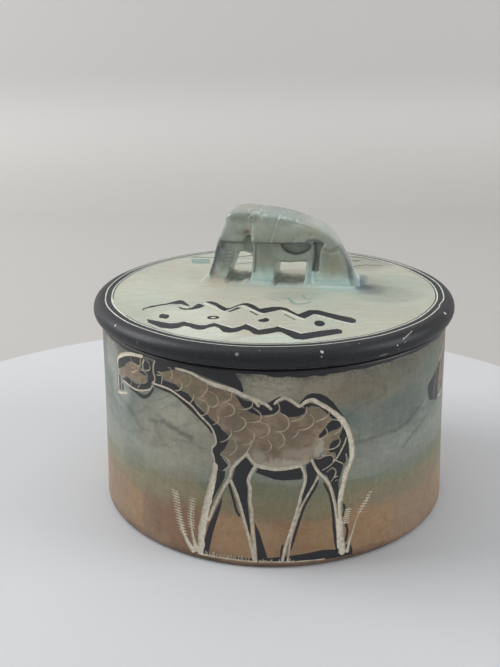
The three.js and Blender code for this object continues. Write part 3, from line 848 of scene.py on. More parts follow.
class Shader:
    """A material's node tree, with the few calls that the finishes are written in."""

    def __init__(self, name: str) -> None:
        """Makes the material, with its Principled shader and output.

        Args:
            name: The material's name.
        """
        self.material = bpy.data.materials.new(name)
        self.material.use_nodes = True
        self.tree = self.material.node_tree
        self.tree.nodes.clear()
        self.out = self.tree.nodes.new("ShaderNodeOutputMaterial")
        self.surface = self.tree.nodes.new("ShaderNodeBsdfPrincipled")
        self.tree.links.new(self.surface.outputs[0], self.out.inputs["Surface"])
        place = self.tree.nodes.new("ShaderNodeTexCoord")
        self.mm = self.node("ShaderNodeVectorMath", {"operation": "SCALE"},
                            {0: Num(self, place.outputs["Object"]), "Scale": 1 / MM})
        parts = self.tree.nodes.new("ShaderNodeSeparateXYZ")
        self.tree.links.new(self.mm.socket, parts.inputs[0])
        self.x, self.y, self.z = (Num(self, s) for s in parts.outputs)

    def node(self, kind: str, settings: dict | None = None, inputs: dict | None = None,
             output: int | str = 0) -> Num:
        """Adds a node.

        Args:
            kind: The node's type.
            settings: Its settings.
            inputs: The values or links of its sockets.
            output: The socket that is wanted.

        Returns:
            The wanted output.
        """
        node = self.tree.nodes.new(kind)
        for key, value in (settings or {}).items():
            setattr(node, key, value)
        for key, value in (inputs or {}).items():
            if isinstance(value, Num):
                self.tree.links.new(value.socket, node.inputs[key])
            else:
                node.inputs[key].default_value = value
        return Num(self, node.outputs[output])

    def colour(self, red: int, green: int, blue: int) -> tuple[float, float, float, float]:
        """A colour that is written as 0 to 255, as a shader value.

        Args:
            red: Its red.
            green: Its green.
            blue: Its blue.

        Returns:
            The linear colour, with its alpha.
        """
        def linear(v: float) -> float:
            """One channel, from display to linear."""
            return v / 12.92 if v <= .04045 else ((v + .055) / 1.055) ** 2.4
        return (*(linear(c / 255) for c in (red, green, blue)), 1.0)

    def mix(self, factor: Value, first: Num | Tone | float, second: Num | Tone | float,
            blend: str = "MIX") -> Num:
        """Mixes two colours, each of which is linked or written as 0 to 255.

        Args:
            factor: How much of the second shows.
            first: The first colour.
            second: The second colour.
            blend: How they are blended.

        Returns:
            The mixed colour.
        """
        first, second = (self.colour(*c) if isinstance(c, tuple) else c for c in (first, second))
        return self.node("ShaderNodeMix", {"data_type": "RGBA", "blend_type": blend, "clamp_factor": True},
                         {0: factor, 6: first, 7: second}, 2)

    def ramp(self, value: Num, stops: list[tuple[float, tuple]]) -> Num:
        """A colour that runs through stops as the value rises.

        Args:
            value: The value, in the stops' own units.
            stops: Each stop's value and colour.

        Returns:
            The colour.
        """
        low, high = stops[0][0], stops[-1][0]
        node = self.tree.nodes.new("ShaderNodeValToRGB")
        elements = node.color_ramp.elements
        while len(elements) < len(stops):
            elements.new(1.0)
        for element, (at, colour) in zip(elements, stops):
            element.position = (at - low) / (high - low)
            element.color = colour
        self.tree.links.new(((value - low) / (high - low)).socket, node.inputs[0])
        return Num(self, node.outputs[0])

    def scaled(self, x: float, y: float, z: float, shift: float = 0) -> Num:
        """The place in millimetres, stretched along each axis."""
        return self.node("ShaderNodeMapping", {}, {"Vector": self.mm, "Scale": (x, y, z),
                                                   "Location": (shift, shift * .7, -shift * .4)})

    def noise(self, scale: float, detail: float = 2, rough: float = .5, distortion: float = 0,
              place: Num | None = None) -> Num:
        """Soft noise from 0 to 1, with so many features to the millimetre.

        Args:
            scale: The features to the millimetre.
            detail: How many finer layers it has.
            rough: How strong the finer layers are.
            distortion: How far it is swirled.
            place: Where it is read, if not at the place itself.

        Returns:
            The noise.
        """
        return self.node("ShaderNodeTexNoise", {"noise_dimensions": "3D"},
                         {"Vector": place or self.mm, "Scale": scale, "Detail": detail, "Roughness": rough,
                          "Distortion": distortion})

    def cells(self, scale: float, place: Num | None = None) -> Num:
        """The distance to the nearest of scattered points."""
        return self.node("ShaderNodeTexVoronoi", {}, {"Vector": place or self.mm, "Scale": scale})

    def distance(self, start: Place, end: Place) -> Num:
        """The distance in millimetres from the place to a straight line between two points.

        Args:
            start: One end of the line.
            end: Its other end.

        Returns:
            The distance.
        """
        def vector(operation: str, inputs: dict, output: int | str = 0) -> Num:
            """The result of a Vector Math node."""
            return self.node("ShaderNodeVectorMath", {"operation": operation}, inputs, output)
        if start == end:
            return vector("DISTANCE", {0: self.mm, 1: start}, "Value")
        along = Vector(end) - Vector(start)
        off = vector("SUBTRACT", {0: self.mm, 1: start})
        part = (vector("DOT_PRODUCT", {0: off, 1: tuple(along)}, "Value") / along.length_squared).clamp()
        foot = vector("SCALE", {0: tuple(along), "Scale": part})
        return vector("DISTANCE", {0: off, 1: foot}, "Value")

    def washed(self, base: Num, across: Num, up: Num, ragged: Num, rows: tuple[Wash, ...]) -> Num:
        """Lays soft-edged washes over a colour.

        Args:
            base: The colour.
            across: The place across the surface.
            up: The place up or along it.
            ragged: How far the washes' edges wander.
            rows: Each wash's centre, two radii, strength and tone.

        Returns:
            The colour with the washes.
        """
        for left, low, wide, tall, strength, tone in rows:
            x, y = (across - left) / wide, (up - low) / tall
            base = self.mix((1 - (x * x + y * y + ragged).step(.2, 1.5)) * strength, base, tone)
        return base

    def channels(self, name: str) -> tuple[Num, Num, Num, Num]:
        """The four numbers of one of the mesh's colour attributes.

        Args:
            name: The attribute's name.

        Returns:
            Its red, green, blue and alpha.
        """
        source = self.tree.nodes.new("ShaderNodeAttribute")
        source.attribute_name = name
        parts = self.tree.nodes.new("ShaderNodeSeparateColor")
        self.tree.links.new(source.outputs["Color"], parts.inputs[0])
        return (*(Num(self, s) for s in parts.outputs[:3]), Num(self, source.outputs["Alpha"]))

    def finish(self, base: Num, roughness: Value, height: Num, depth: float, coat: float,
               coat_roughness: float, shine: float = .4) -> Surface:
        """Links what varies to the surface and sets what doesn't.

        Args:
            base: The colour.
            roughness: The roughness.
            height: The fine relief, where 1 is one depth.
            depth: The relief's depth in millimetres.
            coat: The weight of the wax over the stone.
            coat_roughness: The wax's roughness.
            shine: The stone's own specular level.

        Returns:
            The material.
        """
        self.tree.links.new(base.socket, self.surface.inputs["Base Color"])
        if isinstance(roughness, Num):
            self.tree.links.new(roughness.socket, self.surface.inputs["Roughness"])
        else:
            self.surface.inputs["Roughness"].default_value = roughness
        bump = self.node("ShaderNodeBump", {}, {"Strength": 1.0, "Distance": depth * MM, "Height": height})
        self.tree.links.new(bump.socket, self.surface.inputs["Normal"])
        self.surface.inputs["Specular IOR Level"].default_value = shine
        self.surface.inputs["Coat Weight"].default_value = coat
        self.surface.inputs["Coat Roughness"].default_value = coat_roughness
        return self.material


@dataclass(frozen=True)
class PaintLayer:
    """The black paint, the brown coat wash and the scratched lines, which lie on every finish."""

    black: Tone = (30, 31, 37)
    worn: Tone = (60, 63, 68)
    brown: Tone = (130, 107, 84)
    buff: Tone = (158, 137, 111)
    scratch: Tone = (220, 214, 199)
    dust: Tone = (190, 181, 160)
    wear: float = .4

    def over(self, s: Shader, ground: Num, rough: Num, relief: Num, faded: Value = 0,
             rubbed: Value = 0) -> tuple[Num, Num, Num]:
        """Lays the paints over a ground.

        Args:
            s: The shader.
            ground: The ground's colour.
            rough: The ground's roughness.
            relief: The ground's fine relief.
            faded: How much of the black is worn away.
            rubbed: How much of the brown coat is rubbed pale.

        Returns:
            The colour, roughness and relief with the paints on them.
        """
        dark, bare, fur, _ = s.channels("laid")
        dark = dark * (1 - faded)
        brush = s.noise(.5, 4, .6, .4, s.scaled(1, 1, 2.2, 3))
        grain = s.noise(2.6, 3, .6)
        fur_colour = s.mix(s.noise(.22, 3, .55, .5).step(.36, .66), self.brown, self.buff)
        fur_colour = s.mix(s.noise(.16, 3, .6, .4, s.scaled(1, 1, 1, 33)).step(.46, .6) * .7, fur_colour,
                           (116, 108, 86))
        fur_colour = s.mix(brush.step(.35, .7) * .55, fur_colour, (92, 74, 66))
        fur_colour = s.mix(rubbed, fur_colour, (186, 178, 162))
        base = s.mix(fur * (.74 + .3 * grain).clamp(), ground, fur_colour)
        worn = (s.noise(1.7, 5, .7, .3).step(.63, .8) * .5 + s.noise(.12, 2).step(.5, .75) * .22).clamp() * self.wear
        ink = s.mix(worn, self.black, self.worn)
        base = s.mix(dark * (.9 + .2 * grain).clamp(), base, ink)
        chalk = s.mix(s.noise(1.1, 4, .65).step(.34, .7), self.scratch, self.dust)
        base = s.mix(bare, base, chalk)
        rough = rough + dark * (.44 - rough + .12 * worn) * .8 + bare * (.85 - rough)
        relief = relief + dark * (.55 + brush * .8) + bare * (s.noise(3.2, 2) * 1.6 - .4)
        return base, rough, relief


@dataclass(frozen=True)
class WallStone:
    """The waxed wall: a blue-green wash above, olive in the middle and orange-brown at the foot."""

    heights: tuple[float, ...] = (0, 1.6, 3, 8, 12.6, 13.4, 16.5, 17.6, 20.4, 21.1, 25, 31, 36, 41, 46, 49)
    tones: tuple[Tone, ...] = (
        (92, 70, 58), (118, 94, 76), (142, 116, 88), (150, 122, 90), (146, 120, 88), (128, 116, 88),
        (126, 118, 92), (118, 118, 92), (112, 117, 94), (126, 132, 120), (130, 137, 127), (118, 127, 119),
        (106, 116, 109), (106, 112, 102), (106, 106, 93), (100, 99, 88))
    sky: Tone = (94, 108, 103)
    sand: Tone = (138, 131, 112)
    rust: Tone = (146, 104, 76)
    smoke: Tone = (66, 74, 72)
    rubs: tuple[tuple[float, float, float, float, float], ...] = (
        (1.4, 25.6, 9, 2.6, .75), (9.2, 29.6, 1.5, 3.4, .7), (-4.6, 28, 2, 2.4, .5), (5, 29, 5, 2, .3))
    veins: tuple[tuple[tuple[Point, Point], float, float], ...] = (
        (((18, 29.8), (26.1, 30.3)), .5, .5), (((26.1, 30.4), (29.8, 30.1)), .5, .7),
        (((29.8, 30.1), (34, 31)), .6, .75), (((34, 31), (40.3, 34)), .6, .6),
        (((19.8, 35.9), (25.9, 35.4)), .35, .35), (((25.9, 35.4), (31.2, 37.7)), .4, .4),
        (((32.4, 25.1), (36.2, 27.2)), .6, .45),
        (((36.2, 27.2), (44.3, 30.4)), .6, .4), (((-33.1, 32.3), (-28.2, 33.2)), .6, .5),
        (((-28.2, 33.2), (-20.4, 30.8)), .7, .65), (((-34.1, 33.5), (-34.7, 35.6)), .4, .35),
        (((-46.8, 34.7), (-39.7, 32.5)), 1, .3), (((-39.7, 32.5), (-35.8, 29.2)), 1, .35),
        (((-31.1, 39.1), (-29.2, 37.1)), .5, .35), (((-30.7, 32), (-29.6, 29)), .9, .3))
    washes: tuple[Wash, ...] = (
        (-2, 45, 7, 4.4, .95, (160, 155, 138)), (12, 44, 9, 4, .8, (142, 135, 117)),
        (-9, 7, 9, 7, .55, (172, 138, 104)), (-25, 30, 14, 9, .8, (152, 148, 132)),
        (-22, 37, 9, 4.5, .7, (160, 160, 144)),
        (-45, 37, 5, 6, .45, (170, 172, 166)), (-24, 8, 9, 7, .75, (126, 92, 72)),
        (-31, 17, 9, 5, .5, (136, 128, 106)), (20, 43, 10, 4, .7, (110, 104, 86)),
        (31, 35, 9, 6, .6, (90, 98, 93)), (28, 26, 11, 5, .4, (134, 139, 129)),
        (34, 21.2, 14, 3.2, .55, (116, 122, 114)), (31, 14, 12, 3, .45, (116, 112, 97)),
        (31, 45, 6, 3, .5, (88, 90, 80)), (40, 8, 12, 8, .45, (128, 114, 98)), (-47, 20, 6, 5, .5, (136, 136, 120)),
        (-49, 7, 9, 9, .4, (122, 106, 90)), (-33, 7, 4, 9, .5, (112, 90, 74)), (-40, 20, 5, 3, .6, (112, 114, 98)),
        (-50, 44, 5, 6, .5, (160, 166, 162)), (-34, 31, 7, 6, .35, (112, 114, 104)),
        (-22, 19, 4, 4, .6, (136, 124, 98)))

    def ground(self, s: Shader) -> Num:
        """The washes on the wall.

        Args:
            s: The shader.

        Returns:
            The colour.
        """
        flat = s.scaled(1, 1, 2.6)
        drift = s.noise(.045, 3, .55, .3, flat) - .5
        height = s.z + drift * 9 + (s.noise(.5, 3, .6, 0, flat) - .5) * .9
        base = s.ramp(height, [(z, s.colour(*c)) for z, c in zip(self.heights, self.tones)])
        upper = s.z.step(20, 30)
        clouds = s.noise(.075, 4, .62, 1.1, s.scaled(1, 1, 1.7, 31))
        base = s.mix(clouds.step(.47, .66) * upper * .62, base, self.sky)
        beige = s.noise(.06, 4, .6, .9, s.scaled(1, 1, 1.5, 57))
        base = s.mix(beige.step(.5, .7) * (.25 + .5 * s.z.step(34, 46)), base, self.sand)
        low = 1 - s.z.step(9, 17)
        base = s.mix(s.noise(.16, 4, .65, .8, s.scaled(1, 1, 1.4, 83)).step(.48, .72) * low * .7, base,
                     self.rust)
        around = s.x.math("ARCTAN2", s.x, s.y * -1) * WALL_ROLL
        ragged = (s.noise(.14, 4, .65, .5, s.scaled(1, 1, 1.4, 44)) - .5) * 1.5
        base = s.washed(base, around, s.z, ragged, self.washes)
        smoke = s.noise(.36, 4, .66, .5, s.scaled(1, 1, 2, 71))
        vein = abs(s.noise(.034, 2.4, .5, .5, s.scaled(1, 1, 2.6, 12)) - .5)
        base = s.mix((1 - vein.step(0, .03)) * smoke.step(.34, .62) * upper * .3, base, self.smoke)
        wander = (s.noise(.8, 4, .7) - .5) * 1.6
        for ends, wide, strength in self.veins:
            start, end = (Vector((VEIN_RADIUS * math.sin(a / WALL_ROLL), -VEIN_RADIUS * math.cos(a / WALL_ROLL), z))
                          for a, z in ends)
            away = s.distance(tuple(start), tuple(end)) / wide + wander
            base = s.mix((1 - away.step(.2, 1.7)) * strength, base, self.smoke)
        dirt = s.z.step(44.6, 47.8) * s.noise(1.5, 4, .7, .4).step(.46, .6) * .6
        base = s.mix(dirt, base, (58, 60, 56))
        upright = s.noise(1.1, 3, .7, .1, s.scaled(1, 1, .2, 5))
        level = s.noise(1.2, 3, .7, .1, s.scaled(.22, .22, 1.3, 8))
        fine = s.noise(2.4, 3, .75)
        mottle = s.noise(.7, 4, .7)
        grain = .76 + (upright + level).step(.7, 1.3) * .14 + .16 * mottle.step(.3, .7) + .14 * fine.step(.3, .7)
        base = s.mix(1, base, grain, "MULTIPLY")
        speck = s.noise(1.3, 4, .72)
        base = s.mix(speck.step(.6, .74) * .4, base, (76, 72, 64))
        return s.mix(s.noise(1.7, 3, .7, 0, s.scaled(1, 1, .6, 91)).step(.64, .78) * .3, base, (182, 176, 158))

    def material(self, name: str) -> Surface:
        """Builds the finish.

        Args:
            name: The material's name.

        Returns:
            The material.
        """
        s = Shader(name)
        base = self.ground(s)
        relief = (s.noise(.35, 3, .55) * 1.6 + s.noise(2.4, 3, .6) * .5
                  + s.noise(.9, 2, .5, 0, s.scaled(1, 1, .2)) * .5)
        rough = .42 + .16 * s.noise(.3, 3, .6)
        around = s.x.math("ARCTAN2", s.x, s.y * -1) * WALL_ROLL
        streaks = s.noise(.9, 4, .7, .3, s.scaled(1, 1, .5, 17)) - .5
        rubbed: Value = 0
        for left, low, wide, tall, strength in self.rubs:
            x, y = (around - left) / wide, (s.z - low) / tall
            rubbed = ((1 - (x * x + y * y + streaks * 2.4).step(.1, 1.2)) * strength).most(rubbed)
        base, rough, relief = PaintLayer().over(s, base, rough, relief, 0, rubbed)
        return s.finish(base, rough, relief, .06, .22, .25)


@dataclass(frozen=True)
class LidStone:
    """The lid: cream stone with a pale green wash, dye pooled round the elephant, and a black rim."""

    cream: Tone = (174, 172, 158)
    green: Tone = (166, 174, 161)
    buff: Tone = (170, 160, 142)
    drip: Tone = (158, 197, 200)
    # The darker washes at x 5, y -6 and at x 25, y -1 darken the plate in front of the elephant and by its right
    # foot.
    washes: tuple[Wash, ...] = (
        (27, 26, 9, 9, .7, (134, 138, 126)), (28, -6, 9, 7, .8, (146, 154, 142)),
        (-20, -22, 9, 8, .6, (194, 196, 182)), (20, 8, 4, 4, .5, (154, 158, 148)),
        (5, -6, 8, 4, .5, (136, 148, 134)),
        (25, -1, 4, 5, .6, (116, 122, 112)), (-29, 4, 11, 17, .4, (184, 188, 172)),
        (-17, -33, 9, 6, .7, (194, 200, 188)), (0, -38, 10, 3, .6, (182, 196, 186)),
        (27, -20, 9, 7, .4, (156, 162, 148)), (14, -12, 10, 5, .4, (160, 166, 152)),
        (18, 8, 6, 6, .5, (146, 152, 138)))
    chips: tuple[tuple[float, float, float, float], ...] = (
        (9.3, -42.8, 54, .5), (9.2, -44.3, 53.2, .46), (17.5, -40.8, 53.8, .24), (14.8, -41.7, 53.9, .3),
        (-37.4, -25.5, 53.2, .34), (-4.1, -44.4, 53.7, .14), (28.1, -35.7, 53, .26), (30.3, -32.8, 53.7, .22),
        (26.5, -37.5, 52, .24), (9.1, -44.9, 52.3, .2), (-22, 39.6, 53.4, .3), (33, 30, 53, .3))
    scratches: tuple[tuple[Place, Place], ...] = (
        ((20.4, -40.9, 50.1), (24, -38.9, 50.5)), ((21, -40.4, 49.6), (23.4, -39, 49.8)),
        ((25.2, -38.1, 51.2), (28.2, -35.7, 53)), ((28.2, -35.7, 53), (30.6, -32.6, 53.8)),
        ((26.6, -37.2, 51), (28.4, -35.8, 52.3)), ((13.9, -42, 53.8), (15.2, -41.5, 53.9)))

    def ground(self, s: Shader) -> Num:
        """The washes on the plate.

        Args:
            s: The shader.

        Returns:
            The colour.
        """
        base = s.mix(s.noise(.05, 3, .55, .6).step(.38, .64), self.cream, self.green)
        base = s.mix(s.noise(.045, 4, .6, .8, s.scaled(.6, 1.5, 1, 20)).step(.5, .74) * .6, base,
                     self.buff)
        base = s.mix(s.noise(.5, 4, .65, .3, s.scaled(.5, 1.4, 1, 7)).step(.5, .8) * .3, base,
                     (158, 160, 142))
        base = s.washed(base, s.x, s.y, (s.noise(.12, 4, .62, .5) - .5) * 1.5, self.washes)
        fine = s.noise(1.8, 3, .75)
        grain = .87 + .14 * s.noise(.9, 3, .7, .1, s.scaled(.25, 1.3, 1, 8)).step(.3, .7) + .12 * fine.step(.3, .7)
        base = s.mix(1, base, grain, "MULTIPLY")
        return s.mix(s.noise(1.4, 4, .72).step(.62, .76) * .4, base, (132, 132, 116))

    def dyed_and_painted_light(self, s: Shader, base: Num) -> Num:
        """The dye that lies on the stone, with painted light and shade, from the mesh's own attribute.

        Args:
            s: The shader.
            base: The colour under it.

        Returns:
            The colour with the dye.
        """
        dark, blue, beige, edge = s.channels("dye_and_painted_light")
        # dark holds dye and painted shade on the rump's end face; edge lightens worn edges and carved lines, and is
        # painted light on the plate between the legs.
        patch = s.noise(.45, 4, .6, .6)
        base = s.mix(beige * (.55 + .6 * patch).clamp(), base, (158, 142, 116))
        base = s.mix(blue * (.3 + patch).clamp(), base, self.drip)
        base = s.mix(dark * (.6 + .7 * patch).clamp(), base, (46, 56, 78))
        return s.mix(((edge - .15) * (1.2 + (patch - .5) * 3)).clamp() * .8, base, (200, 212, 206))

    def material(self, name: str) -> Surface:
        """Builds the finish.

        Args:
            name: The material's name.

        Returns:
            The material.
        """
        s = Shader(name)
        base = self.dyed_and_painted_light(s, self.ground(s))
        base = s.mix(s.channels("laid")[3] * (.55 + .5 * s.noise(.8, 3, .6)).clamp(), base, (112, 140, 134))
        relief = s.noise(.3, 3, .55) * 1.4 + s.noise(2.2, 3, .6) * .6
        rough = .46 + .14 * s.noise(.3, 3, .6)
        laid = PaintLayer(black=(33, 35, 40), scratch=(222, 225, 220), dust=(196, 198, 190), wear=.2)
        base, rough, relief = laid.over(s, base, rough, relief, s.y.step(12, 26) * s.z.step(53.7, 53.9) * .35)
        nicks = (1 - s.cells(.16).step(.03, .11)) * s.noise(.07, 2).step(.5, .62)
        scuffs = (s.noise(1.4, 4, .7, 1.2, s.scaled(.35, 1, 1, 40)).step(.68, .78)
                  * s.noise(.06, 2, .5, 0, s.scaled(1, 1, 1, 66)).step(.5, .66))
        rim = s.channels("laid")[0] * (53.9 - s.z).step(0, .4)
        ragged = s.noise(2.1, 4, .75) - .5
        for x, y, z, size in self.chips:
            away = s.distance((x, y, z), (x, y, z)) / size + ragged * 2.4
            nicks = nicks.most(1 - away.step(.6, .8))
        broken = s.noise(2.2, 3, .6, 0, s.scaled(1, 1, 1, 61)).step(.36, .5)
        for start, end in self.scratches:
            scuffs = scuffs.most((1 - (s.distance(start, end) + ragged * .2).step(.06, .16)) * broken)
        base = s.mix((nicks * .95 + scuffs * .6).clamp() * rim, base, (206, 206, 202))
        # A pale line along the bead's lower edge: partly wear, partly a painted highlight on that lit edge.
        seam = (1 - s.z.step(49.25, 49.75)) * s.channels("laid")[0] * s.noise(.4, 3, .6).step(.3, .6)
        base = s.mix(seam * .75, base, (150, 156, 152))
        return s.finish(base, rough, relief, .05, .08, .25, .25)


@dataclass(frozen=True)
class ElephantStone:
    """The elephant: grey-green stone that runs into the plate's colour at its feet."""

    stone: Tone = (152, 161, 150)
    light: Tone = (166, 177, 167)
    foot: Tone = (212, 232, 224)
    warm: Tone = (146, 140, 120)

    def material(self, name: str) -> Surface:
        """Builds the finish.

        Args:
            name: The material's name.

        Returns:
            The material.
        """
        s = Shader(name)
        plate = LidStone()
        body = s.mix(s.noise(.11, 4, .6, .6).step(.42, .66), self.stone, self.light)
        body = s.mix(s.noise(.13, 4, .6, .8, s.scaled(1, 1, 1.3, 15)).step(.5, .72) * .35, body, self.warm)
        body = s.mix(s.noise(.8, 4, .7, .4, s.scaled(1, 1, .45, 9)).step(.48, .8) * .4, body, (112, 120, 112))
        body = s.mix(s.z.step(65, 69) * .4, body, (178, 187, 176))
        body = s.mix(s.z.step(69.4, 71.6) * .85, body, (122, 133, 125))
        body = s.mix(s.noise(.7, 4, .65, .8, s.scaled(1, .6, 1, 27)).step(.56, .62) * s.z.step(69, 71) * .5, body,
                     (190, 205, 196))
        base = s.mix((s.z + (s.noise(.5, 4, .6) - .5) * 3.4).step(55, 59.4), self.foot, body)
        base = plate.dyed_and_painted_light(s, base)
        base = s.mix(s.noise(1.5, 3, .7).step(.64, .8) * .45, base, (86, 88, 78))
        relief = (s.noise(.5, 3, .55) * 1.8 + s.noise(2.6, 3, .65) * .7
                  + s.noise(1.2, 2, .5, 0, s.scaled(.3, 1, 1.2)) * .5)
        return s.finish(base, .36 + .2 * s.noise(.35, 3, .6), relief, .055, .75, .12)


@dataclass(frozen=True)
class BareStone:
    """The unpainted stone of the well, the spigot and the undersides, with its tool marks."""

    stone: Tone = (196, 188, 172)
    grey: Tone = (172, 168, 154)
    rust: Tone = (178, 152, 126)

    def material(self, name: str) -> Surface:
        """Builds the finish.

        Args:
            name: The material's name.

        Returns:
            The material.
        """
        s = Shader(name)
        base = s.mix(s.noise(.07, 4, .6, .9).step(.4, .66), self.stone, self.grey)
        vein = abs(s.noise(.04, 5, .6, 1.4, s.scaled(1, 1, 1.6, 22)) - .5)
        base = s.mix((1 - vein.step(0, .03)) * .5, base, self.rust)
        base = s.mix(s.noise(1.3, 4, .7).step(.55, .8) * .35, base, (148, 142, 128))
        radius = (s.x * s.x + s.y * s.y) ** .5
        marks = ((radius + s.z) * 5.2 + s.noise(.25, 2) * 5).sine() * .5 + .5
        relief = marks * 1.1 + s.noise(1.8, 3, .6) * 1.0 + s.noise(.25, 2) * 2
        base = s.mix(marks * .12, base, (222, 216, 202))
        return s.finish(base, .62 + .2 * s.noise(.5, 3, .6), relief, .06, .05, .4)


def new_mesh() -> Mesh:
    """A bmesh with the layers that the box's pieces are painted and sorted by.

    Returns:
        The empty mesh.
    """
    bm = bmesh.new()
    for name in ("paint", "side", "drawn", "bare"):
        bm.faces.layers.int.new(name)
    return bm


def turned(bm: Mesh, profile: list[Point], start: float, paint: Paint = Paint.STONE,
           bare: bool = False) -> None:
    """Spins a profile once round the upright axis.

    Args:
        bm: The mesh that gets the turned surface.
        profile: The radius and height of each point of the profile.
        start: The angle at which the spin starts, from the front.
        paint: What lies on the surface.
        bare: Whether the surface is unwaxed inner stone.
    """
    part = new_mesh()
    ring = [part.verts.new((r * math.sin(start), -r * math.cos(start), z)) for r, z in profile]
    edges = [part.edges.new(pair) for pair in zip(ring, ring[1:])]
    bmesh.ops.spin(part, geom=[*ring, *edges], cent=(0, 0, 0), axis=(0, 0, 1), dvec=(0, 0, 0),
                   angle=2 * math.pi, steps=TURN_STEPS, use_merge=True)
    for face in part.faces:
        face[part.faces.layers.int["paint"]] = paint
        face[part.faces.layers.int["bare"]] = int(bare)
    mesh = bpy.data.meshes.new("turned")
    part.to_mesh(mesh)
    part.free()
    bm.from_mesh(mesh)
    bpy.data.meshes.remove(mesh)


def corner(centre: Point, radius: float, start: float, end: float, steps: int) -> list[Point]:
    """The points of an arc in a profile, by its angles in degrees."""
    turn = [math.radians(start + (end - start) * i / steps) for i in range(steps + 1)]
    return [(centre[0] + radius * math.cos(a), centre[1] + radius * math.sin(a)) for a in turn]


def finished(bm: Mesh, name: str, materials: list[Surface], sharp: float,
             normals: Callable[[Vector], Vector] | None = None,
             dye_and_painted_light: Callable[[np.ndarray], np.ndarray] | None = None) -> Piece:
    """Makes an object of a bmesh: paints, shades and scales it.

    Args:
        bm: The mesh, which is freed.
        name: The piece's name.
        materials: Its material, and its bare stone if it has any.
        sharp: The angle in degrees above which an edge is sharp.
        normals: The normal of a drawn face at a point.
        dye_and_painted_light: The four values of dye, wear and painted light and shade at each of some points.

    Returns:
        The object.
    """
    paint, bare, drawn, side = (bm.faces.layers.int[n] for n in ("paint", "bare", "drawn", "side"))
    mask = bm.loops.layers.float_color.new("laid")
    for face in bm.faces:
        face.smooth = True
        face.material_index = face[bare]
        colour = (float(face[paint] == Paint.BLACK), SCRATCHED.get(face[paint], 0.0),
                  float(face[paint] in (Paint.COAT, Paint.FAINT)), float(face[paint] == Paint.DRIP))
        for loop in face.loops:
            loop[mask] = colour
    if dye_and_painted_light:
        layer = bm.verts.layers.float_color.new("dye_and_painted_light")
        for vert, value in zip(bm.verts, dye_and_painted_light(np.array([v.co for v in bm.verts]))):
            vert[layer] = value
    flat = [bool(f[drawn]) and not f[side] for f in bm.faces]
    mesh = bpy.data.meshes.new(name)
    bm.to_mesh(mesh)
    bm.free()
    mesh.set_sharp_from_angle(angle=math.radians(sharp))
    if normals:
        corners = [c.vector.copy() for c in mesh.corner_normals]
        for polygon in mesh.polygons:
            if flat[polygon.index]:
                for i in polygon.loop_indices:
                    corners[i] = normals(mesh.vertices[mesh.loops[i].vertex_index].co)
        mesh.normals_split_custom_set(corners)
    mesh.transform(Matrix.Scale(MM, 4))
    for material in materials:
        mesh.materials.append(material)
    piece = bpy.data.objects.new(name, mesh)
    bpy.context.scene.collection.objects.link(piece)
    return piece


def placed(piece: Piece, body: str, node: str) -> None:
    """Lets a piece ride on a body and stand for a node, and reports it.

    Args:
        piece: The piece.
        body: The body that it rides on.
        node: The node that it replaces.
    """
    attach(piece, body)
    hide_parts(node)
    log.info("%s: %d faces, on %s, for %s", piece.name, len(piece.data.polygons), body, node)


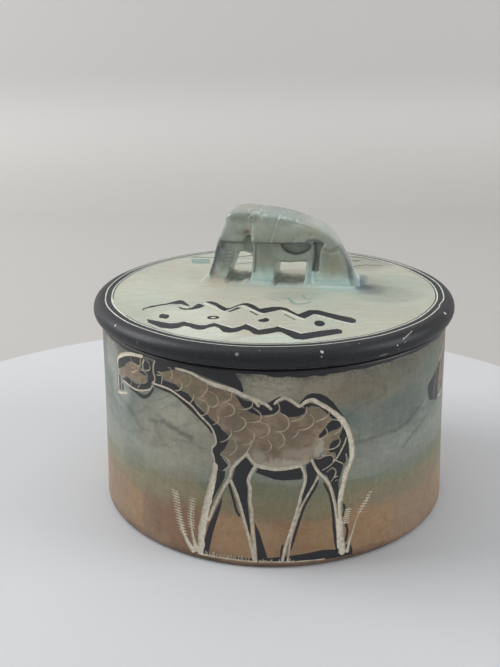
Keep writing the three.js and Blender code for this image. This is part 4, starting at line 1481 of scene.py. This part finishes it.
@dataclass
class Pot:
    """The turned stone pot, with the figures drawn round its wall."""

    foot_radius: float = 45.0
    waist_radius: float = 44.15
    rim_radius: float = 44.0
    height: float = 48.8
    foot_round: float = 1.4
    rim_round: float = 0.6
    mouth_radius: float = 38.5
    mouth_chamfer: float = 0.6
    floor: float = 6.5
    well_fillet: float = 4.0
    roll: float = WALL_ROLL
    seam: float = -56.0
    grid_rows: int = 24
    band_edge: float = 47.7
    band_top: float = 48.14

    def radius(self, z: float) -> float:
        """The wall's radius at a height."""
        t = (z - self.foot_round) / (self.height - self.rim_round - self.foot_round)
        return self.foot_radius * (1 - t) ** 2 + 2 * self.waist_radius * t * (1 - t) + self.rim_radius * t * t

    def outward(self, co: Vector) -> Vector:
        """The wall's normal at a point."""
        slope = (self.radius(co.z + .5) - self.radius(co.z - .5))
        return (Vector((co.x, co.y, 0)).normalized() - Vector((0, 0, slope))).normalized()

    def band(self) -> list[Mark]:
        """The black band under the rim, whose lower edge is brushed by hand.

        Returns:
            The marks of the band.
        """
        given = {-9: 48, -5: 48, 0: 47.2, 5: 46.9, 10: 47, 13: 47.4, 20: 47.4}
        start, end = self.seam + .3, self.seam + 2 * math.pi * self.roll - .3
        edge: list[Point] = []
        s = start
        while s < end:
            near = min(given, key=lambda g: abs(g - s))
            wave = (self.band_edge + .5 * noise.noise(Vector((s * .11, 3.1, 0)))
                    + .25 * noise.noise(Vector((s * .5, 8, 0))))
            pull = max(0.0, 1 - abs(near - s) / 4)
            edge.append((s, wave * (1 - pull) + given[near] * pull))
            s += 1.2
        edge.append((end, self.band_edge))
        return [Area(Paint.BLACK, (a, b, (b[0], self.band_top), (a[0], self.band_top)))
                for a, b in zip(edge, edge[1:])]

    def wall(self, bm: Mesh) -> None:
        """Draws the wall's sheet and bends it round the pot.

        Args:
            bm: The mesh that gets the wall.
        """
        around = 2 * math.pi * self.roll
        low, high = self.foot_round, self.height - self.rim_round
        canvas = Canvas((self.seam + .15, low + .08), (self.seam + around - .15, high - .06), 2.7)
        for mark in [*wall_marks(), *self.band()]:
            canvas.add(mark)
        grid = [(self.seam + around * i / TURN_STEPS, low + (high - low) * j / self.grid_rows)
                for i in range(TURN_STEPS + 1) for j in range(self.grid_rows + 1)]
        canvas.sheet(bm, grid)
        paint, drawn = bm.faces.layers.int["paint"], bm.faces.layers.int["drawn"]
        for face in bm.faces:
            face[drawn] = 1
            if face.calc_center_median().y > high - .12:
                face[paint] = Paint.BLACK
        for vert in bm.verts:
            s, z, depth = vert.co
            turn, r = s / self.roll, self.radius(z) + depth
            vert.co = (r * math.sin(turn), -r * math.cos(turn), z)

    def build(self) -> Piece:
        """Builds the pot and returns it.

        Returns:
            The pot.
        """
        bm = new_mesh()
        self.wall(bm)
        start = self.seam / self.roll
        top, rim = self.height, self.rim_round
        edge = self.rim_radius - rim
        turned(bm, corner((edge, top - rim), rim, 0, 90, 5), start, Paint.BLACK)
        turned(bm, [(edge, top), (edge - 1.2, top)], start, Paint.BLACK)
        mouth, chamfer, fillet = self.mouth_radius, self.mouth_chamfer, self.well_fillet
        inner = [(edge - 1.2, top), (41, top), (mouth + chamfer, top), (mouth + .2, top - .15),
                 (mouth, top - chamfer)]
        inner += [(mouth, top - chamfer - (top - chamfer - self.floor - fillet) * i / 16) for i in range(1, 17)]
        inner += corner((mouth - fillet, self.floor + fillet), fillet, 0, -90, 6)[1:]
        inner += [(r, self.floor) for r in (30, 24, 18, 12, 7, 3, 0)]
        turned(bm, inner, start, bare=True)
        foot = self.foot_round
        under = corner((self.foot_radius - foot, foot), foot, 0, -90, 6)
        turned(bm, under[:5], start)
        turned(bm, under[4:] + [(r, 0) for r in (38, 30, 22, 14, 7, 0)], start, bare=True)
        bmesh.ops.remove_doubles(bm, verts=bm.verts, dist=MERGE_DISTANCE)
        bmesh.ops.recalc_face_normals(bm, faces=bm.faces)
        materials = [WallStone().material("waxed_wall_stone"), BareStone().material("bare_well_stone")]
        piece = finished(bm, "painted_pot", materials, 32, self.outward)
        placed(piece, "pot", "box_body")
        return piece


@dataclass
class Elephant:
    """The elephant that is carved in one with the lid: u runs from trunk to rump, v away, h up."""

    turn: float = math.radians(-13.5)
    setback: float = 9.4
    thickness: float = 11.6
    plate: float = 54.0
    voxel: float = 0.22
    crown: float = 19.18
    ear: tuple[Point, ...] = ((.75, 18.4), (.42, 17.1), (0, 15.2), (-.6, 13.3), (-1.2, 11.5))
    brow_heights: tuple[float, ...] = (5, 8, 11.4, 13.6, 15, 16.2, 17.2, 18.2, 19.4)
    brow_pushes: tuple[float, ...] = (0, .25, .45, .45, .4, .4, .65, .9, .8)
    feet: tuple[tuple[float, float], ...] = ((-19.2, -14.2), (-8.4, -1.2), (7.1, 22.0))

    @property
    def near(self) -> float:
        """Where the elephant's near face lies."""
        return self.setback - self.thickness / 2

    @property
    def far(self) -> float:
        """Where the elephant's far face lies."""
        return self.setback + self.thickness / 2

    def local(self, co: Vector) -> Vector:
        """A point of the box, in the elephant's own directions."""
        c, s = math.cos(self.turn), math.sin(self.turn)
        return Vector((co.x * c + co.y * s, -co.x * s + co.y * c, co.z - self.plate))

    def world(self, co: Vector) -> Vector:
        """A point of the elephant, in the box's directions."""
        c, s = math.cos(self.turn), math.sin(self.turn)
        return Vector((co.x * c - co.y * s, co.x * s + co.y * c, co.z + self.plate))

    def gap(self, u: float, v: float) -> float:
        """How far a point of the plate lies from the nearest foot.

        Args:
            u: The point's place along the elephant.
            v: Its place across it.

        Returns:
            The distance.
        """
        near, far = self.near, self.far
        out = max(near - v, v - far, 0.0)
        return min(math.hypot(max(a - u, u - b, 0.0), out) for a, b in self.feet)

    def lift(self, co: Vector) -> float:
        """How high the plate's stone is left at a point, in a fillet round the feet and in rough chips.

        Args:
            co: The point, in the box's directions.

        Returns:
            The height above the plate.
        """
        p = self.local(co)
        away = self.gap(p.x, p.y)
        fillet = .8 * max(0.0, 1 - away / 1.8) ** 2
        near, far = self.near, self.far
        inside = held(min(p.y - near + 1.2, far + 1.2 - p.y) / 1.5)
        inside *= held((p.x + 20) / 2) * held((9 - p.x) / 2)
        chips = (noise.noise(Vector((p.x * .9, p.y * .7, 4))) * .34
                 + noise.noise(Vector((p.x * 2.2, p.y * 1.8, 9))) * .16)
        toe = .9 * math.exp(-((p.x - 23.2) / 1.9) ** 2 - ((p.y - near - 1.6) / 2) ** 2)
        ripple = .05 * noise.noise(Vector((co.x * .12, co.y * .12, 2)))
        return max(fillet, toe) + inside * (chips + .1) + ripple

    def dye_and_painted_light(self, points: np.ndarray) -> np.ndarray:
        """The dye on the lid and its few light carved edges, with painted shade on the rump's end face and painted
        light on the plate between the legs.

        Args:
            points: Points of the box, one to a row.

        Returns:
            The dark, blue, beige and light values of each point.
        """
        x, y = points[:, 0], points[:, 1]
        c, s = math.cos(self.turn), math.sin(self.turn)
        u, v, h = x * c + y * s, -x * s + y * c, points[:, 2] - self.plate

        def spots(*rows: tuple[float, ...]) -> np.ndarray:
            """Soft spots of dye.

            Args:
                rows: Each spot's strength, centre and three radii.

            Returns:
                The value at each point.
            """
            value = np.zeros(len(points))
            for strength, cu, cv, ch, ru, rv, rh in rows:
                away = ((u - cu) / ru) ** 2 + ((v - cv) / rv) ** 2 + ((h - ch) / rh) ** 2
                value = np.maximum(value, strength * np.exp(-1.4 * away))
            return value

        near, far = self.near, self.far
        middle = self.setback
        face = np.clip((near + 3.2 - v) / 1.2, 0, 1) * np.clip((v - near + 1.4) / .6, 0, 1)

        def lines(*rows: tuple[float, float, tuple[Point, ...]]) -> np.ndarray:
            """Soft lines of dye on the near face.

            Args:
                rows: Each line's strength, half width and path.

            Returns:
                The value at each point.
            """
            value = np.zeros(len(points))
            for strength, half, path in rows:
                line = np.array(Canvas.smoothed(path, .25))
                away = np.min(np.hypot(u[:, None] - line[:, 0], h[:, None] - line[:, 1]), 1)
                value = np.maximum(value, strength * np.exp(-(away / half) ** 2))
            return value * face

        blue = spots((1, -2.4, near, 1.4, 1.7, 1.6, 3.2), (.7, -5.8, near, .8, 1.8, 1.6, 2.4),
                     (.45, -5.6, near + 5, .6, 5, 8, 2.4), (.8, 8.6, near, 2.4, 1.6, 3, 3.4),
                     (.6, 16, near - .4, .2, 8, 1.6, 2.2),
                     (.5, 21.2, middle, .8, 2, 8, 3), (.55, -3.4, far, 1, 4, 2, 3), (.6, 14, far, .8, 8, 1.6, 3),
                     (.35, 0, near - 1.4, 0, 7, 1.6, 1), (.4, 4.6, near, 19.2, 9, 6, 1.4),
                     (.9, 21, near, 3.6, 1.2, 4, 4), (.8, 17, near, .7, 6, 1.4, .9))
        blue = np.maximum(blue, lines((.8, .35, ((10.4, 1.8), (15, 1.9), (18, 2.2)))))
        # Mostly dye. The last spot, at u 20.6, is painted shade on the rump's end face; the spots at u 24.6 darken
        # the plate by the right foot.
        dark = spots((.2, 19.5, middle, 9, 3.6, 9, 5.5), (.2, 14.5, middle, 15, 5, 9, 3),
                     (.24, 24.6, 2.6, 0, 6, 3, 2), (.95, -14.5, near, 9.7, 1.1, 3, 1.9),
                     (.75, -15.6, near, 7, 1.7, 3, 3.4), (.5, -16.4, middle, 8.6, 1.6, 8, 3.4),
                     (.5, -13.6, near, 4.6, 3, 1.6, 3),
                     (.8, 10.2, near + 1, 11.4, 1.6, 2.4, 1.2), (.75, 10.4, near + 1.4, 7.4, 1, 2, 4.4),
                     (.2, -8.2, near + .8, 10.4, 1.2, 3, 2),
                     (.62, -14.2, near, 6, 2.6, 2, 4), (.22, 12.6, near, 8.6, 2.2, 2, 2.6),
                     (.3, 10.8, near, 16.2, 2.6, 3, 1.6), (.42, -3, near, 8.4, 3.4, 2, 3),
                     (.55, 24.6, near + 1.6, .2, 1.5, 1.6, 1.2),
                     (.95, -7.4, near, 13.9, .55, 2, .5), (.4, -9.4, near, 13.6, 2.2, 2, 1),
                     (.6, 9.4, far, 8, 1.4, 2, 5), (.5, -14.6, far, 8, 2.4, 2.4, 4),
                     (.8, 20.6, near + 2, 4, 1.1, 3, 4))
        dark = np.maximum(dark, lines(
            (.9, .32, ((-5.5, 10.95), (-2.2, 11.1), (1.3, 11.2), (4.8, 11.4), (8, 11.6))),
            (.7, .3, ((-14, 10.6), (-11.7, 10.7), (-9, 10.8))),
            (.85, .24, ((-5.55, 10.8), (-5.6, 8), (-5.75, 5), (-6.1, 3))),
            (.85, .3, ((-.2, 5.4), (-.3, 3), (-.2, .2))),
            (.62, .32, ((1.3, 11.1), (1.9, 9.9), (3, 8.8), (4.8, 8.4))),
            (.6, .4, ((4.8, 8.4), (6.5, 8.8), (8, 9.9), (8.9, 11.3))),
            (.8, .45, ((5.6, 10.1), (7.1, 10.7), (8.8, 11.5))),
            (1, .36, ((10.1, 11.9), (10, 10), (10.1, 8.3), (9.8, 5.9), (9.6, 4.4))),
            (.7, .5, ((7.7, 11.5), (8.5, 12.2), (10.5, 12.4), (11.6, 11.9))),
            (.5, .25, ((1.3, 6.4), (4.8, 6), (7.7, 6.9))),
            (.35, .3, ((12.2, 10.4), (14, 9.9), (15.4, 10.8), (16.5, 11.3))),
            (.75, .32, ((18.8, 7.5), (18.9, 5.2), (19.3, 2.9), (19.9, 1.2))),
            # The wide line down the trunk's front edge is dye and painted shade on that rounded edge.
            (.8, 1, ((-15.6, 9), (-16.9, 5.4), (-18, 2.2))),
            *((.6, .14, ((-13.3, h0 - .1), (-12.3, h0 + .3), (-11.4, h0 - .4))) for h0 in (8.4, 7.4, 6.5, 5.6))))
        beige = spots((.95, -7.4, near, 13.9, 1.5, 3, 1.5), (.4, 9, near, 14.4, 4, 4, 2.2),
                      (.45, 15, near, 6.4, 3.4, 3, 4.4), (.6, -2.8, near, 6.6, 2.4, 2, 1.6),
                      (.6, -4, far, 13, 5, 3, 4), (.3, -4.6, near, 16.4, 1, 2, 2.4),
                      (.8, -16.4, near, 1.8, 2.6, 3, 2.2), (.5, -9, middle, 18.6, 5, 6, 3))
        light = lines((1.3, .26, self.ear),
                      (.5, .22, ((-7, 10.6), (-7.1, 8), (-7.2, 5), (-7.5, 2), (-7.8, .8))),
                      (.9, .24, ((8.2, 6.2), (8.1, 4), (7.8, 2.4), (7.5, .7))),
                      (1, .26, ((9.5, 10.9), (9.4, 8.2), (9.2, 5.9), (8.9, 4.2))),
                      (.8, .3, ((-5.5, .1), (1.9, -.1), (7.8, .2), (13.6, .5), (20, .7))),
                      (.5, .3, ((-6.8, 18.6), (-5.4, 18.9), (-4, 18.3), (-2.6, 18.5))),
                      (.8, .35, ((20, 2.4), (20.6, .9))))
        # Painted light: these spots lighten the plate between the legs, where the elephant's shade falls, and the
        # foot of the near face.
        floor = spots((.75, 3.4, near + 4, .2, 3.6, 6, .9), (.5, -11, near + 4, .2, 3, 6, .9),
                      (.55, -5, near, 1, 2.6, 1.6, 1.3), (.5, 12.6, near, 1, 5, 1.6, 1.2))
        light = np.maximum(light, floor)
        rim = np.exp(-((u - self.reach(h)) / .5) ** 2 - ((v - near) / 1.2) ** 2) * (h < 14)
        # Painted shade: end darkens the rump's slanted end face and its rounded edge, and takes the beige and light
        # off them there.
        end = np.clip((u - self.reach(h) + 1.7) / .8, 0, 1) * np.clip((12.5 - h) / 2, 0, 1) * np.clip(h / .4, 0, 1)
        end *= np.clip(.9 - (v - near) / 18, 0, .62)
        return np.stack([np.maximum(dark, np.maximum(.75 * rim, end)), blue, beige * (1 - end), light * (1 - end)], 1)

    def blank(self) -> Piece:
        """The CAD's elephant, cut off its plate and remeshed into even carved stone.

        Returns:
            The blank.
        """
        bm = bmesh.new()
        bm.from_mesh(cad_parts["lid"].data)
        bmesh.ops.remove_doubles(bm, verts=bm.verts, dist=1e-6)
        bmesh.ops.scale(bm, vec=(1 / MM, 1 / MM, 1 / MM), verts=bm.verts)
        cut = self.plate + .05
        bmesh.ops.bisect_plane(bm, geom=[*bm.verts, *bm.edges, *bm.faces], dist=1e-4, plane_co=(0, 0, cut),
                               plane_no=(0, 0, 1), clear_inner=True)
        bmesh.ops.remove_doubles(bm, verts=bm.verts, dist=1e-3)
        rim = [e for e in bm.edges if e.is_boundary]
        out = bmesh.ops.extrude_edge_only(bm, edges=rim)
        low = [g for g in out["geom"] if isinstance(g, bmesh.types.BMVert)]
        bmesh.ops.translate(bm, verts=low, vec=(0, 0, -1.6))
        bmesh.ops.triangle_fill(bm, edges=[e for e in bm.edges if e.is_boundary], use_beauty=True)
        bmesh.ops.recalc_face_normals(bm, faces=bm.faces)
        mesh = bpy.data.meshes.new("elephant_blank")
        bm.to_mesh(mesh)
        bm.free()
        blank = bpy.data.objects.new("elephant_blank", mesh)
        bpy.context.scene.collection.objects.link(blank)
        remesh = blank.modifiers.new("carve", "REMESH")
        remesh.mode = "VOXEL"
        remesh.voxel_size = self.voxel
        bpy.context.view_layer.update()
        solid = bpy.data.meshes.new_from_object(blank.evaluated_get(bpy.context.evaluated_depsgraph_get()))
        blank.modifiers.clear()
        blank.data = solid
        return blank

    def strokes(self) -> list[tuple[float, float, tuple[Point, ...]]]:
        """The carved lines on the near face: depth, half width, and points in u and h.

        Returns:
            The lines.
        """
        return [
            (.34, .2, self.ear),
            (.22, .3, ((-6.5, 17.6), (-6.3, 16), (-6.4, 14.4), (-6.2, 12.6))),
            (.36, .2, ((-13.4, 8.9), (-12.3, 9.2), (-11.2, 8.8))),
            (.36, .2, ((-13.6, 8), (-12.4, 8.3), (-11.3, 7.8))),
            (.36, .2, ((-13.9, 7.1), (-12.6, 7.3), (-11.5, 6.8))),
            (.34, .2, ((-14.1, 6.2), (-12.9, 6.3), (-11.8, 5.8))),
            (.3, .2, ((-14.3, 5.3), (-13.2, 5.3), (-12.2, 4.8))),
            (.25, .3, ((-7.4, 17.8), (-6.6, 18.6), (-5.4, 18.9), (-4, 18.2))),
            (.2, .3, ((12.4, 10.2), (14, 9.4), (15.8, 10))),
            (.14, .4, ((3.6, 16.6), (6, 16.2), (8.4, 15.4))),
        ]

    def pits(self) -> tuple[tuple[float, float, float, float], ...]:
        """The small holes in the faces: u, h, size and depth."""
        return ((-7.8, 13.6, .5, .5), (-7.3, 12.6, .4, .3), (-4.6, 11.6, .4, .3), (4.6, 12.2, .35, .25),
                (9, 13.6, .35, .25), (-6.4, 17.3, .4, .3), (6.2, 17, .4, .25), (14.6, 6, .4, .2))

    def reach(self, h: np.ndarray | float) -> np.ndarray:
        """How far along u the rump's near edge lies at a height."""
        return np.interp(h, (0, 3, 5, 9, 12, 15, 17.5), (22.4, 20.6, 20, 18.7, 17.1, 13.4, 6))

    def flare(self, bm: Mesh) -> None:
        """Draws the rump's near edge back, so that its end is cut at a slant.

        Args:
            bm: The elephant's mesh.
        """
        near = self.near
        for vert in bm.verts:
            u, v, h = vert.co
            drawn = float(np.interp(h, (0, 3, 6, 12, 15, 17.5), (1.4, 2, 2.4, 2.8, 2.6, 0)))
            inward = held((u - float(self.reach(h)) + drawn + 4.5) / 4)
            depth = max(0.0, 1 - max(0.0, v - near) / self.thickness)
            vert.co.x += drawn * inward * inward * (3 - 2 * inward) * depth

    def settle(self, bm: Mesh) -> None:
        """Fills out the forehead, lowers the rump and draws the front leg's edge in.

        Args:
            bm: The elephant's mesh.
        """
        for vert in bm.verts:
            u, _, h = vert.co
            brow = float(np.interp(h, self.brow_heights, self.brow_pushes)) * held((-8.5 - u) / 3.5)
            rump = math.exp(-((u - 16.4) / 3.4) ** 2) * held((h - 5) / 4)
            knee = max(0.0, 1 - abs(u + 8) / 2.2) * held((10.4 - h) / 4) * (u > -9.6)
            vert.co += Vector((1.1 * knee - brow, 0, .35 * brow * (h > 15.8) - .8 * rump))

    @staticmethod
    def soften(bm: Mesh, verts: list[bmesh.types.BMVert], rounds: int, factor: float = .5) -> None:
        """Smooths some of the stone, as often as rounds says."""
        for _ in range(rounds):
            bmesh.ops.smooth_vert(bm, verts=verts, factor=factor, use_axis_x=True, use_axis_y=True, use_axis_z=True)

    def carve(self, bm: Mesh) -> None:
        """Rounds the blank's edges and carves the face, ear and folds into it.

        Args:
            bm: The elephant's mesh.
        """
        bmesh.ops.transform(bm, matrix=Matrix.Translation((0, 0, -self.plate)), verts=bm.verts)
        bmesh.ops.rotate(bm, cent=(0, 0, 0), matrix=Matrix.Rotation(-self.turn, 3, "Z"), verts=bm.verts)
        near, far = self.near, self.far
        self.flare(bm)
        self.settle(bm)
        self.soften(bm, [*bm.verts], 7)
        for slope in (-.1, .5, 1.1):
            self.soften(bm, [v for v in bm.verts if v.co.z > 12.2 + max(0, v.co.x - 8) * slope], 15)
        fork = [v for v in bm.verts
                if -10.4 < v.co.x < -6.6 and v.co.y < near + 3 and 7.6 < v.co.z < 12.4]
        self.soften(bm, fork, 44)
        bm.normal_update()
        at = np.array([v.co for v in bm.verts])
        u, v, h = at.T
        depth = np.zeros(len(at))
        shallow = (np.minimum(abs(v - near), abs(v - far)) < 3.2)
        for deep, half, points in self.strokes():
            line = np.array(Canvas.smoothed(points, .25))
            away = np.min(np.hypot(u[:, None] - line[:, 0], h[:, None] - line[:, 1]), 1)
            depth = np.maximum(depth, deep * np.exp(-(away / half) ** 2))
        for cu, ch, size, deep in self.pits():
            depth = np.maximum(depth, deep * np.exp(-((u - cu) ** 2 + (h - ch) ** 2) / size ** 2))
        ridge = np.exp(-((u + 6.2 + .08 * (h - 14)) / .9) ** 2)
        ridge *= np.clip((h - 10.6) / 1.5, 0, 1) * np.clip((18.4 - h) / 1.5, 0, 1)
        push = (.28 * ridge - depth) * shallow
        for i, vert in enumerate(bm.verts):
            rough = .1 * noise.noise(vert.co * .35) + .05 * noise.noise(vert.co * 1.05)
            vert.co += vert.normal * (push[i] + rough * held(h[i] / 1.5))
        self.soften(bm, [*bm.verts], 2, .3)
        for vert in bm.verts:
            vert.co.z = min(vert.co.z, self.crown)
        bmesh.ops.rotate(bm, cent=(0, 0, 0), matrix=Matrix.Rotation(self.turn, 3, "Z"), verts=bm.verts)
        bmesh.ops.translate(bm, vec=(0, 0, self.plate), verts=bm.verts)

    def edges(self, bm: Mesh) -> list[float]:
        """How strongly each vertex stands on an outer edge, from 0 to 1.

        Args:
            bm: The elephant's mesh.

        Returns:
            The strength at each vertex.
        """
        bm.normal_update()
        raw = []
        for vert in bm.verts:
            around = [e.other_vert(vert).co for e in vert.link_edges]
            mean = sum(around, Vector()) / len(around)
            raw.append((vert.co - mean).dot(vert.normal))
        for _ in range(3):
            raw = [(raw[v.index] + sum(raw[e.other_vert(v).index] for e in v.link_edges)) / (1 + len(v.link_edges))
                   for v in bm.verts]
        return [held(r / .02) for r in raw]

    def build(self) -> Piece:
        """Builds the elephant and returns it.

        Returns:
            The elephant.
        """
        piece = self.blank()
        piece.name = piece.data.name = "carved_elephant"
        bm = bmesh.new()
        bm.from_mesh(piece.data)
        self.carve(bm)
        bmesh.ops.recalc_face_normals(bm, faces=bm.faces)
        bm.verts.ensure_lookup_table()
        bm.verts.index_update()
        worn = self.edges(bm)
        layer = bm.verts.layers.float_color.new("dye_and_painted_light")
        for vert, value in zip(bm.verts, self.dye_and_painted_light(np.array([v.co for v in bm.verts]))):
            vert[layer] = (*value[:3], max(value[3], .18 * worn[vert.index]))
        for face in bm.faces:
            face.smooth = True
        bmesh.ops.scale(bm, vec=(MM, MM, MM), verts=bm.verts)
        bm.to_mesh(piece.data)
        bm.free()
        piece.data.materials.clear()
        piece.data.materials.append(ElephantStone().material("waxed_elephant_stone"))
        placed(piece, "lid", "lid")
        return piece


@dataclass
class Lid:
    """The lid's plate, rings, rounded rim and spigot. A ring's points are its radii and depths."""

    top: float = 54.0
    seat: float = 49.1
    inner_radius: float = 40.2
    bead_round: float = 2.45
    bead_radius: float = 43.45
    spigot_radius: float = 37.9
    spigot_depth: float = 4.5
    spigot_chamfer: float = 0.8
    grid_step: float = 1.2
    fine_step: float = .36
    fine_reach: float = 6
    thin_ring: tuple[float, float] = (40.9, 41.2)
    rings: tuple[tuple[Paint, tuple[Point, ...]], ...] = (
        (Paint.STONE, ((40.2, 0), (40.6, 0), (40.9, 0))), (Paint.BLACK, ((40.9, 0), (41.2, 0))),
        (Paint.PALE, ((41.2, 0), (41.27, .14), (41.48, .14), (41.55, 0))),
        (Paint.BLACK, ((41.55, 0), (42.2, 0), (42.8, 0))),
        (Paint.PALE, ((42.8, 0), (42.87, .14), (43.02, .14), (43.09, 0))),
        (Paint.BLACK, ((43.09, 0), (43.3, .01))))
    elephant: Elephant = field(default_factory=Elephant)

    def plate(self, bm: Mesh) -> None:
        """Draws the plate with its bands and lifts it round the elephant's feet.

        Args:
            bm: The mesh that gets the plate.
        """
        reach = self.inner_radius
        canvas = Canvas((-reach, -reach), (reach, reach), 6.1)
        for mark in lid_marks():
            canvas.add(mark)
        grid = [(reach * math.sin(2 * math.pi * i / TURN_STEPS), -reach * math.cos(2 * math.pi * i / TURN_STEPS))
                for i in range(TURN_STEPS)]
        for i in range(-33, 34):
            for j in range(-33, 34):
                p = (i * self.grid_step + .3 * (j % 2), j * self.grid_step)
                if math.hypot(*p) < reach - .7:
                    grid.append(p)
        for i in range(-66, 68):
            for j in range(2, 52):
                u, v = i * self.fine_step, j * self.fine_step
                if self.elephant.gap(u, v) < self.fine_reach:
                    p = self.elephant.world(Vector((u, v, 0)))
                    grid.append((p.x, p.y))
        canvas.sheet(bm, grid)
        for face in bm.faces:
            face[bm.faces.layers.int["drawn"]] = 1
        for vert in bm.verts:
            at = Vector((vert.co.x, vert.co.y, self.top))
            edge = held((reach - at.xy.length) / 2)
            vert.co.z += self.top + self.elephant.lift(at) * edge

    def build(self) -> Piece:
        """Builds the plate, rim and spigot and returns them as one piece.

        Returns:
            The lid without its elephant.
        """
        bm = new_mesh()
        self.plate(bm)
        top, seat = self.top, self.seat
        for laid, profile in self.rings:
            turned(bm, [(r, top - down) for r, down in profile], 0, laid)
        paint = bm.faces.layers.int["paint"]
        for face in bm.faces:
            at = face.calc_center_median()
            turn = math.degrees(math.atan2(at.y, at.x)) % 360
            if self.thin_ring[0] < at.xy.length < self.thin_ring[1] and at.z > top - .01 and 190 < turn < 210:
                face[paint] = Paint.STONE
        bead = corner((self.bead_radius, top - self.bead_round), self.bead_round, 90, -90, 18)
        turned(bm, [(43.3, top - .01), *bead[1:]], 0, Paint.BLACK)
        under = [(self.bead_radius, seat), (42, seat), (40, seat), (self.spigot_radius, seat)]
        bottom = seat - self.spigot_depth
        under += [(self.spigot_radius, seat - 1.8), (self.spigot_radius, bottom + self.spigot_chamfer),
                  (self.spigot_radius - self.spigot_chamfer, bottom)]
        under += [(r, bottom) for r in (32, 26, 20, 14, 8, 3, 0)]
        turned(bm, under, 0, bare=True)
        bmesh.ops.remove_doubles(bm, verts=bm.verts, dist=MERGE_DISTANCE)
        bmesh.ops.recalc_face_normals(bm, faces=bm.faces)
        for vert in bm.verts:
            r = vert.co.xy.length
            if vert.co.z > top - .5 and self.inner_radius + .05 < r < 43.35:
                turn = math.atan2(vert.co.y, vert.co.x)
                wobble = .14 * math.sin(3 * turn + 1) + .08 * math.sin(7 * turn + 2.2) + .05 * math.sin(17 * turn)
                jog = -.45 * math.exp(-((turn + .33) / .035) ** 2) * held((r - 42.2) / .5)
                inner = held((r - self.inner_radius) / .5) * held((43.5 - r) / .3)
                scale = 1 + (wobble + jog) * inner / r
                vert.co.x *= scale
                vert.co.y *= scale
        piece = finished(bm, "painted_lid", [LidStone().material("waxed_lid_stone"),
                                             BareStone().material("bare_spigot_stone")], 35,
                         None, self.elephant.dye_and_painted_light)
        placed(piece, "lid", "lid")
        return piece


@dataclass
class Studio:
    """The pale floor and backdrop, the soft lights and the camera."""

    lens: float = 50.96
    place: Place = (-.0061, -.2332, .1238)
    pitch: float = 70.66
    roll: float = -.0097
    back: float = .42
    cove: float = .08
    half_width: float = 1.4

    def camera(self) -> None:
        """Sets the camera at the photograph's viewpoint."""
        data = bpy.data.cameras.new("camera")
        data.sensor_width = 36
        data.lens = self.lens
        data.clip_start = .01
        camera = bpy.data.objects.new("camera", data)
        camera.matrix_world = (Matrix.Translation(self.place) @ Matrix.Rotation(math.radians(self.pitch), 4, "X")
                               @ Matrix.Rotation(self.roll, 4, "Z"))
        bpy.context.scene.collection.objects.link(camera)
        bpy.context.scene.camera = camera

    def backdrop(self) -> None:
        """Makes the floor and the wall behind it in one sheet with a rounded cove."""
        bm = bmesh.new()
        back, cove = self.back, self.cove
        profile = [(-1.2, 0), (-.4, 0), (back - cove, 0)]
        profile += [(back - cove + cove * math.sin(math.radians(a)), cove - cove * math.cos(math.radians(a)))
                    for a in range(10, 91, 10)]
        profile += [(back, .6), (back, 1.2)]
        line = [bm.verts.new((-self.half_width, y, z)) for y, z in profile]
        edges = [bm.edges.new(pair) for pair in zip(line, line[1:])]
        out = bmesh.ops.extrude_edge_only(bm, edges=edges)
        far = [g for g in out["geom"] if isinstance(g, bmesh.types.BMVert)]
        bmesh.ops.translate(bm, verts=far, vec=(2 * self.half_width, 0, 0))
        bmesh.ops.recalc_face_normals(bm, faces=bm.faces)
        if bm.faces[:][0].normal.z < 0:
            bmesh.ops.reverse_faces(bm, faces=bm.faces)
        for face in bm.faces:
            face.smooth = True
        mesh = bpy.data.meshes.new("floor")
        bm.to_mesh(mesh)
        bm.free()
        floor = bpy.data.objects.new("floor", mesh)
        bpy.context.scene.collection.objects.link(floor)
        s = Shader("pale_floor")
        reach = ((s.x + 12) * (s.x + 12) + s.y * s.y) ** .5
        tone = s.mix(reach.step(124.6, 125.6), (192, 194, 197), (176, 174, 171))
        tone = s.mix(s.z.step(2, 60), tone, (197, 195, 194))
        s.tree.links.new(tone.socket, s.surface.inputs["Base Color"])
        s.surface.inputs["Roughness"].default_value = .55
        s.surface.inputs["Specular IOR Level"].default_value = .25
        mesh.materials.append(s.material)

    def lamp(self, name: str, place: Place, aim: Place, size: tuple[float, float], power: float) -> None:
        """Adds one soft rectangular lamp, aimed at a point.

        Args:
            name: Its name.
            place: Where it hangs, in metres.
            aim: The point that it lights.
            size: Its width and height in metres.
            power: Its power in watts.
        """
        data = bpy.data.lights.new(name, "AREA")
        data.shape = "RECTANGLE"
        data.size, data.size_y = size
        data.energy = power
        lamp = bpy.data.objects.new(name, data)
        turn = (Vector(aim) - Vector(place)).to_track_quat("-Z", "Y").to_matrix().to_4x4()
        lamp.matrix_world = Matrix.Translation(place) @ turn
        bpy.context.scene.collection.objects.link(lamp)

    def build(self) -> None:
        """Sets the whole studio."""
        self.camera()
        self.backdrop()
        self.lamp("window_left", (-.66, .1, .5), (0, 0, .03), (.5, .6), 5.6)
        self.lamp("overhead", (.05, .14, .95), (0, 0, .03), (.8, .8), 2.1)
        self.lamp("fill_right", (.7, -.16, .35), (0, 0, .03), (.4, .5), 2.7)
        world = bpy.data.worlds.new("soft_room")
        world.use_nodes = True
        world.node_tree.nodes["Background"].inputs[0].default_value = (.93, .93, .92, 1)
        world.node_tree.nodes["Background"].inputs[1].default_value = .52
        bpy.context.scene.world = world
        bpy.context.scene.view_settings.view_transform = "Standard"


def main() -> None:
    """Builds the studio and the two pieces of the box, and logs each piece's face count."""
    logging.basicConfig(level=logging.INFO, format="%(name)s: %(message)s")
    Studio().build()
    Pot().build()
    lid = Lid()
    lid.build()
    lid.elephant.build()


if __name__ == "__main__":
    main()
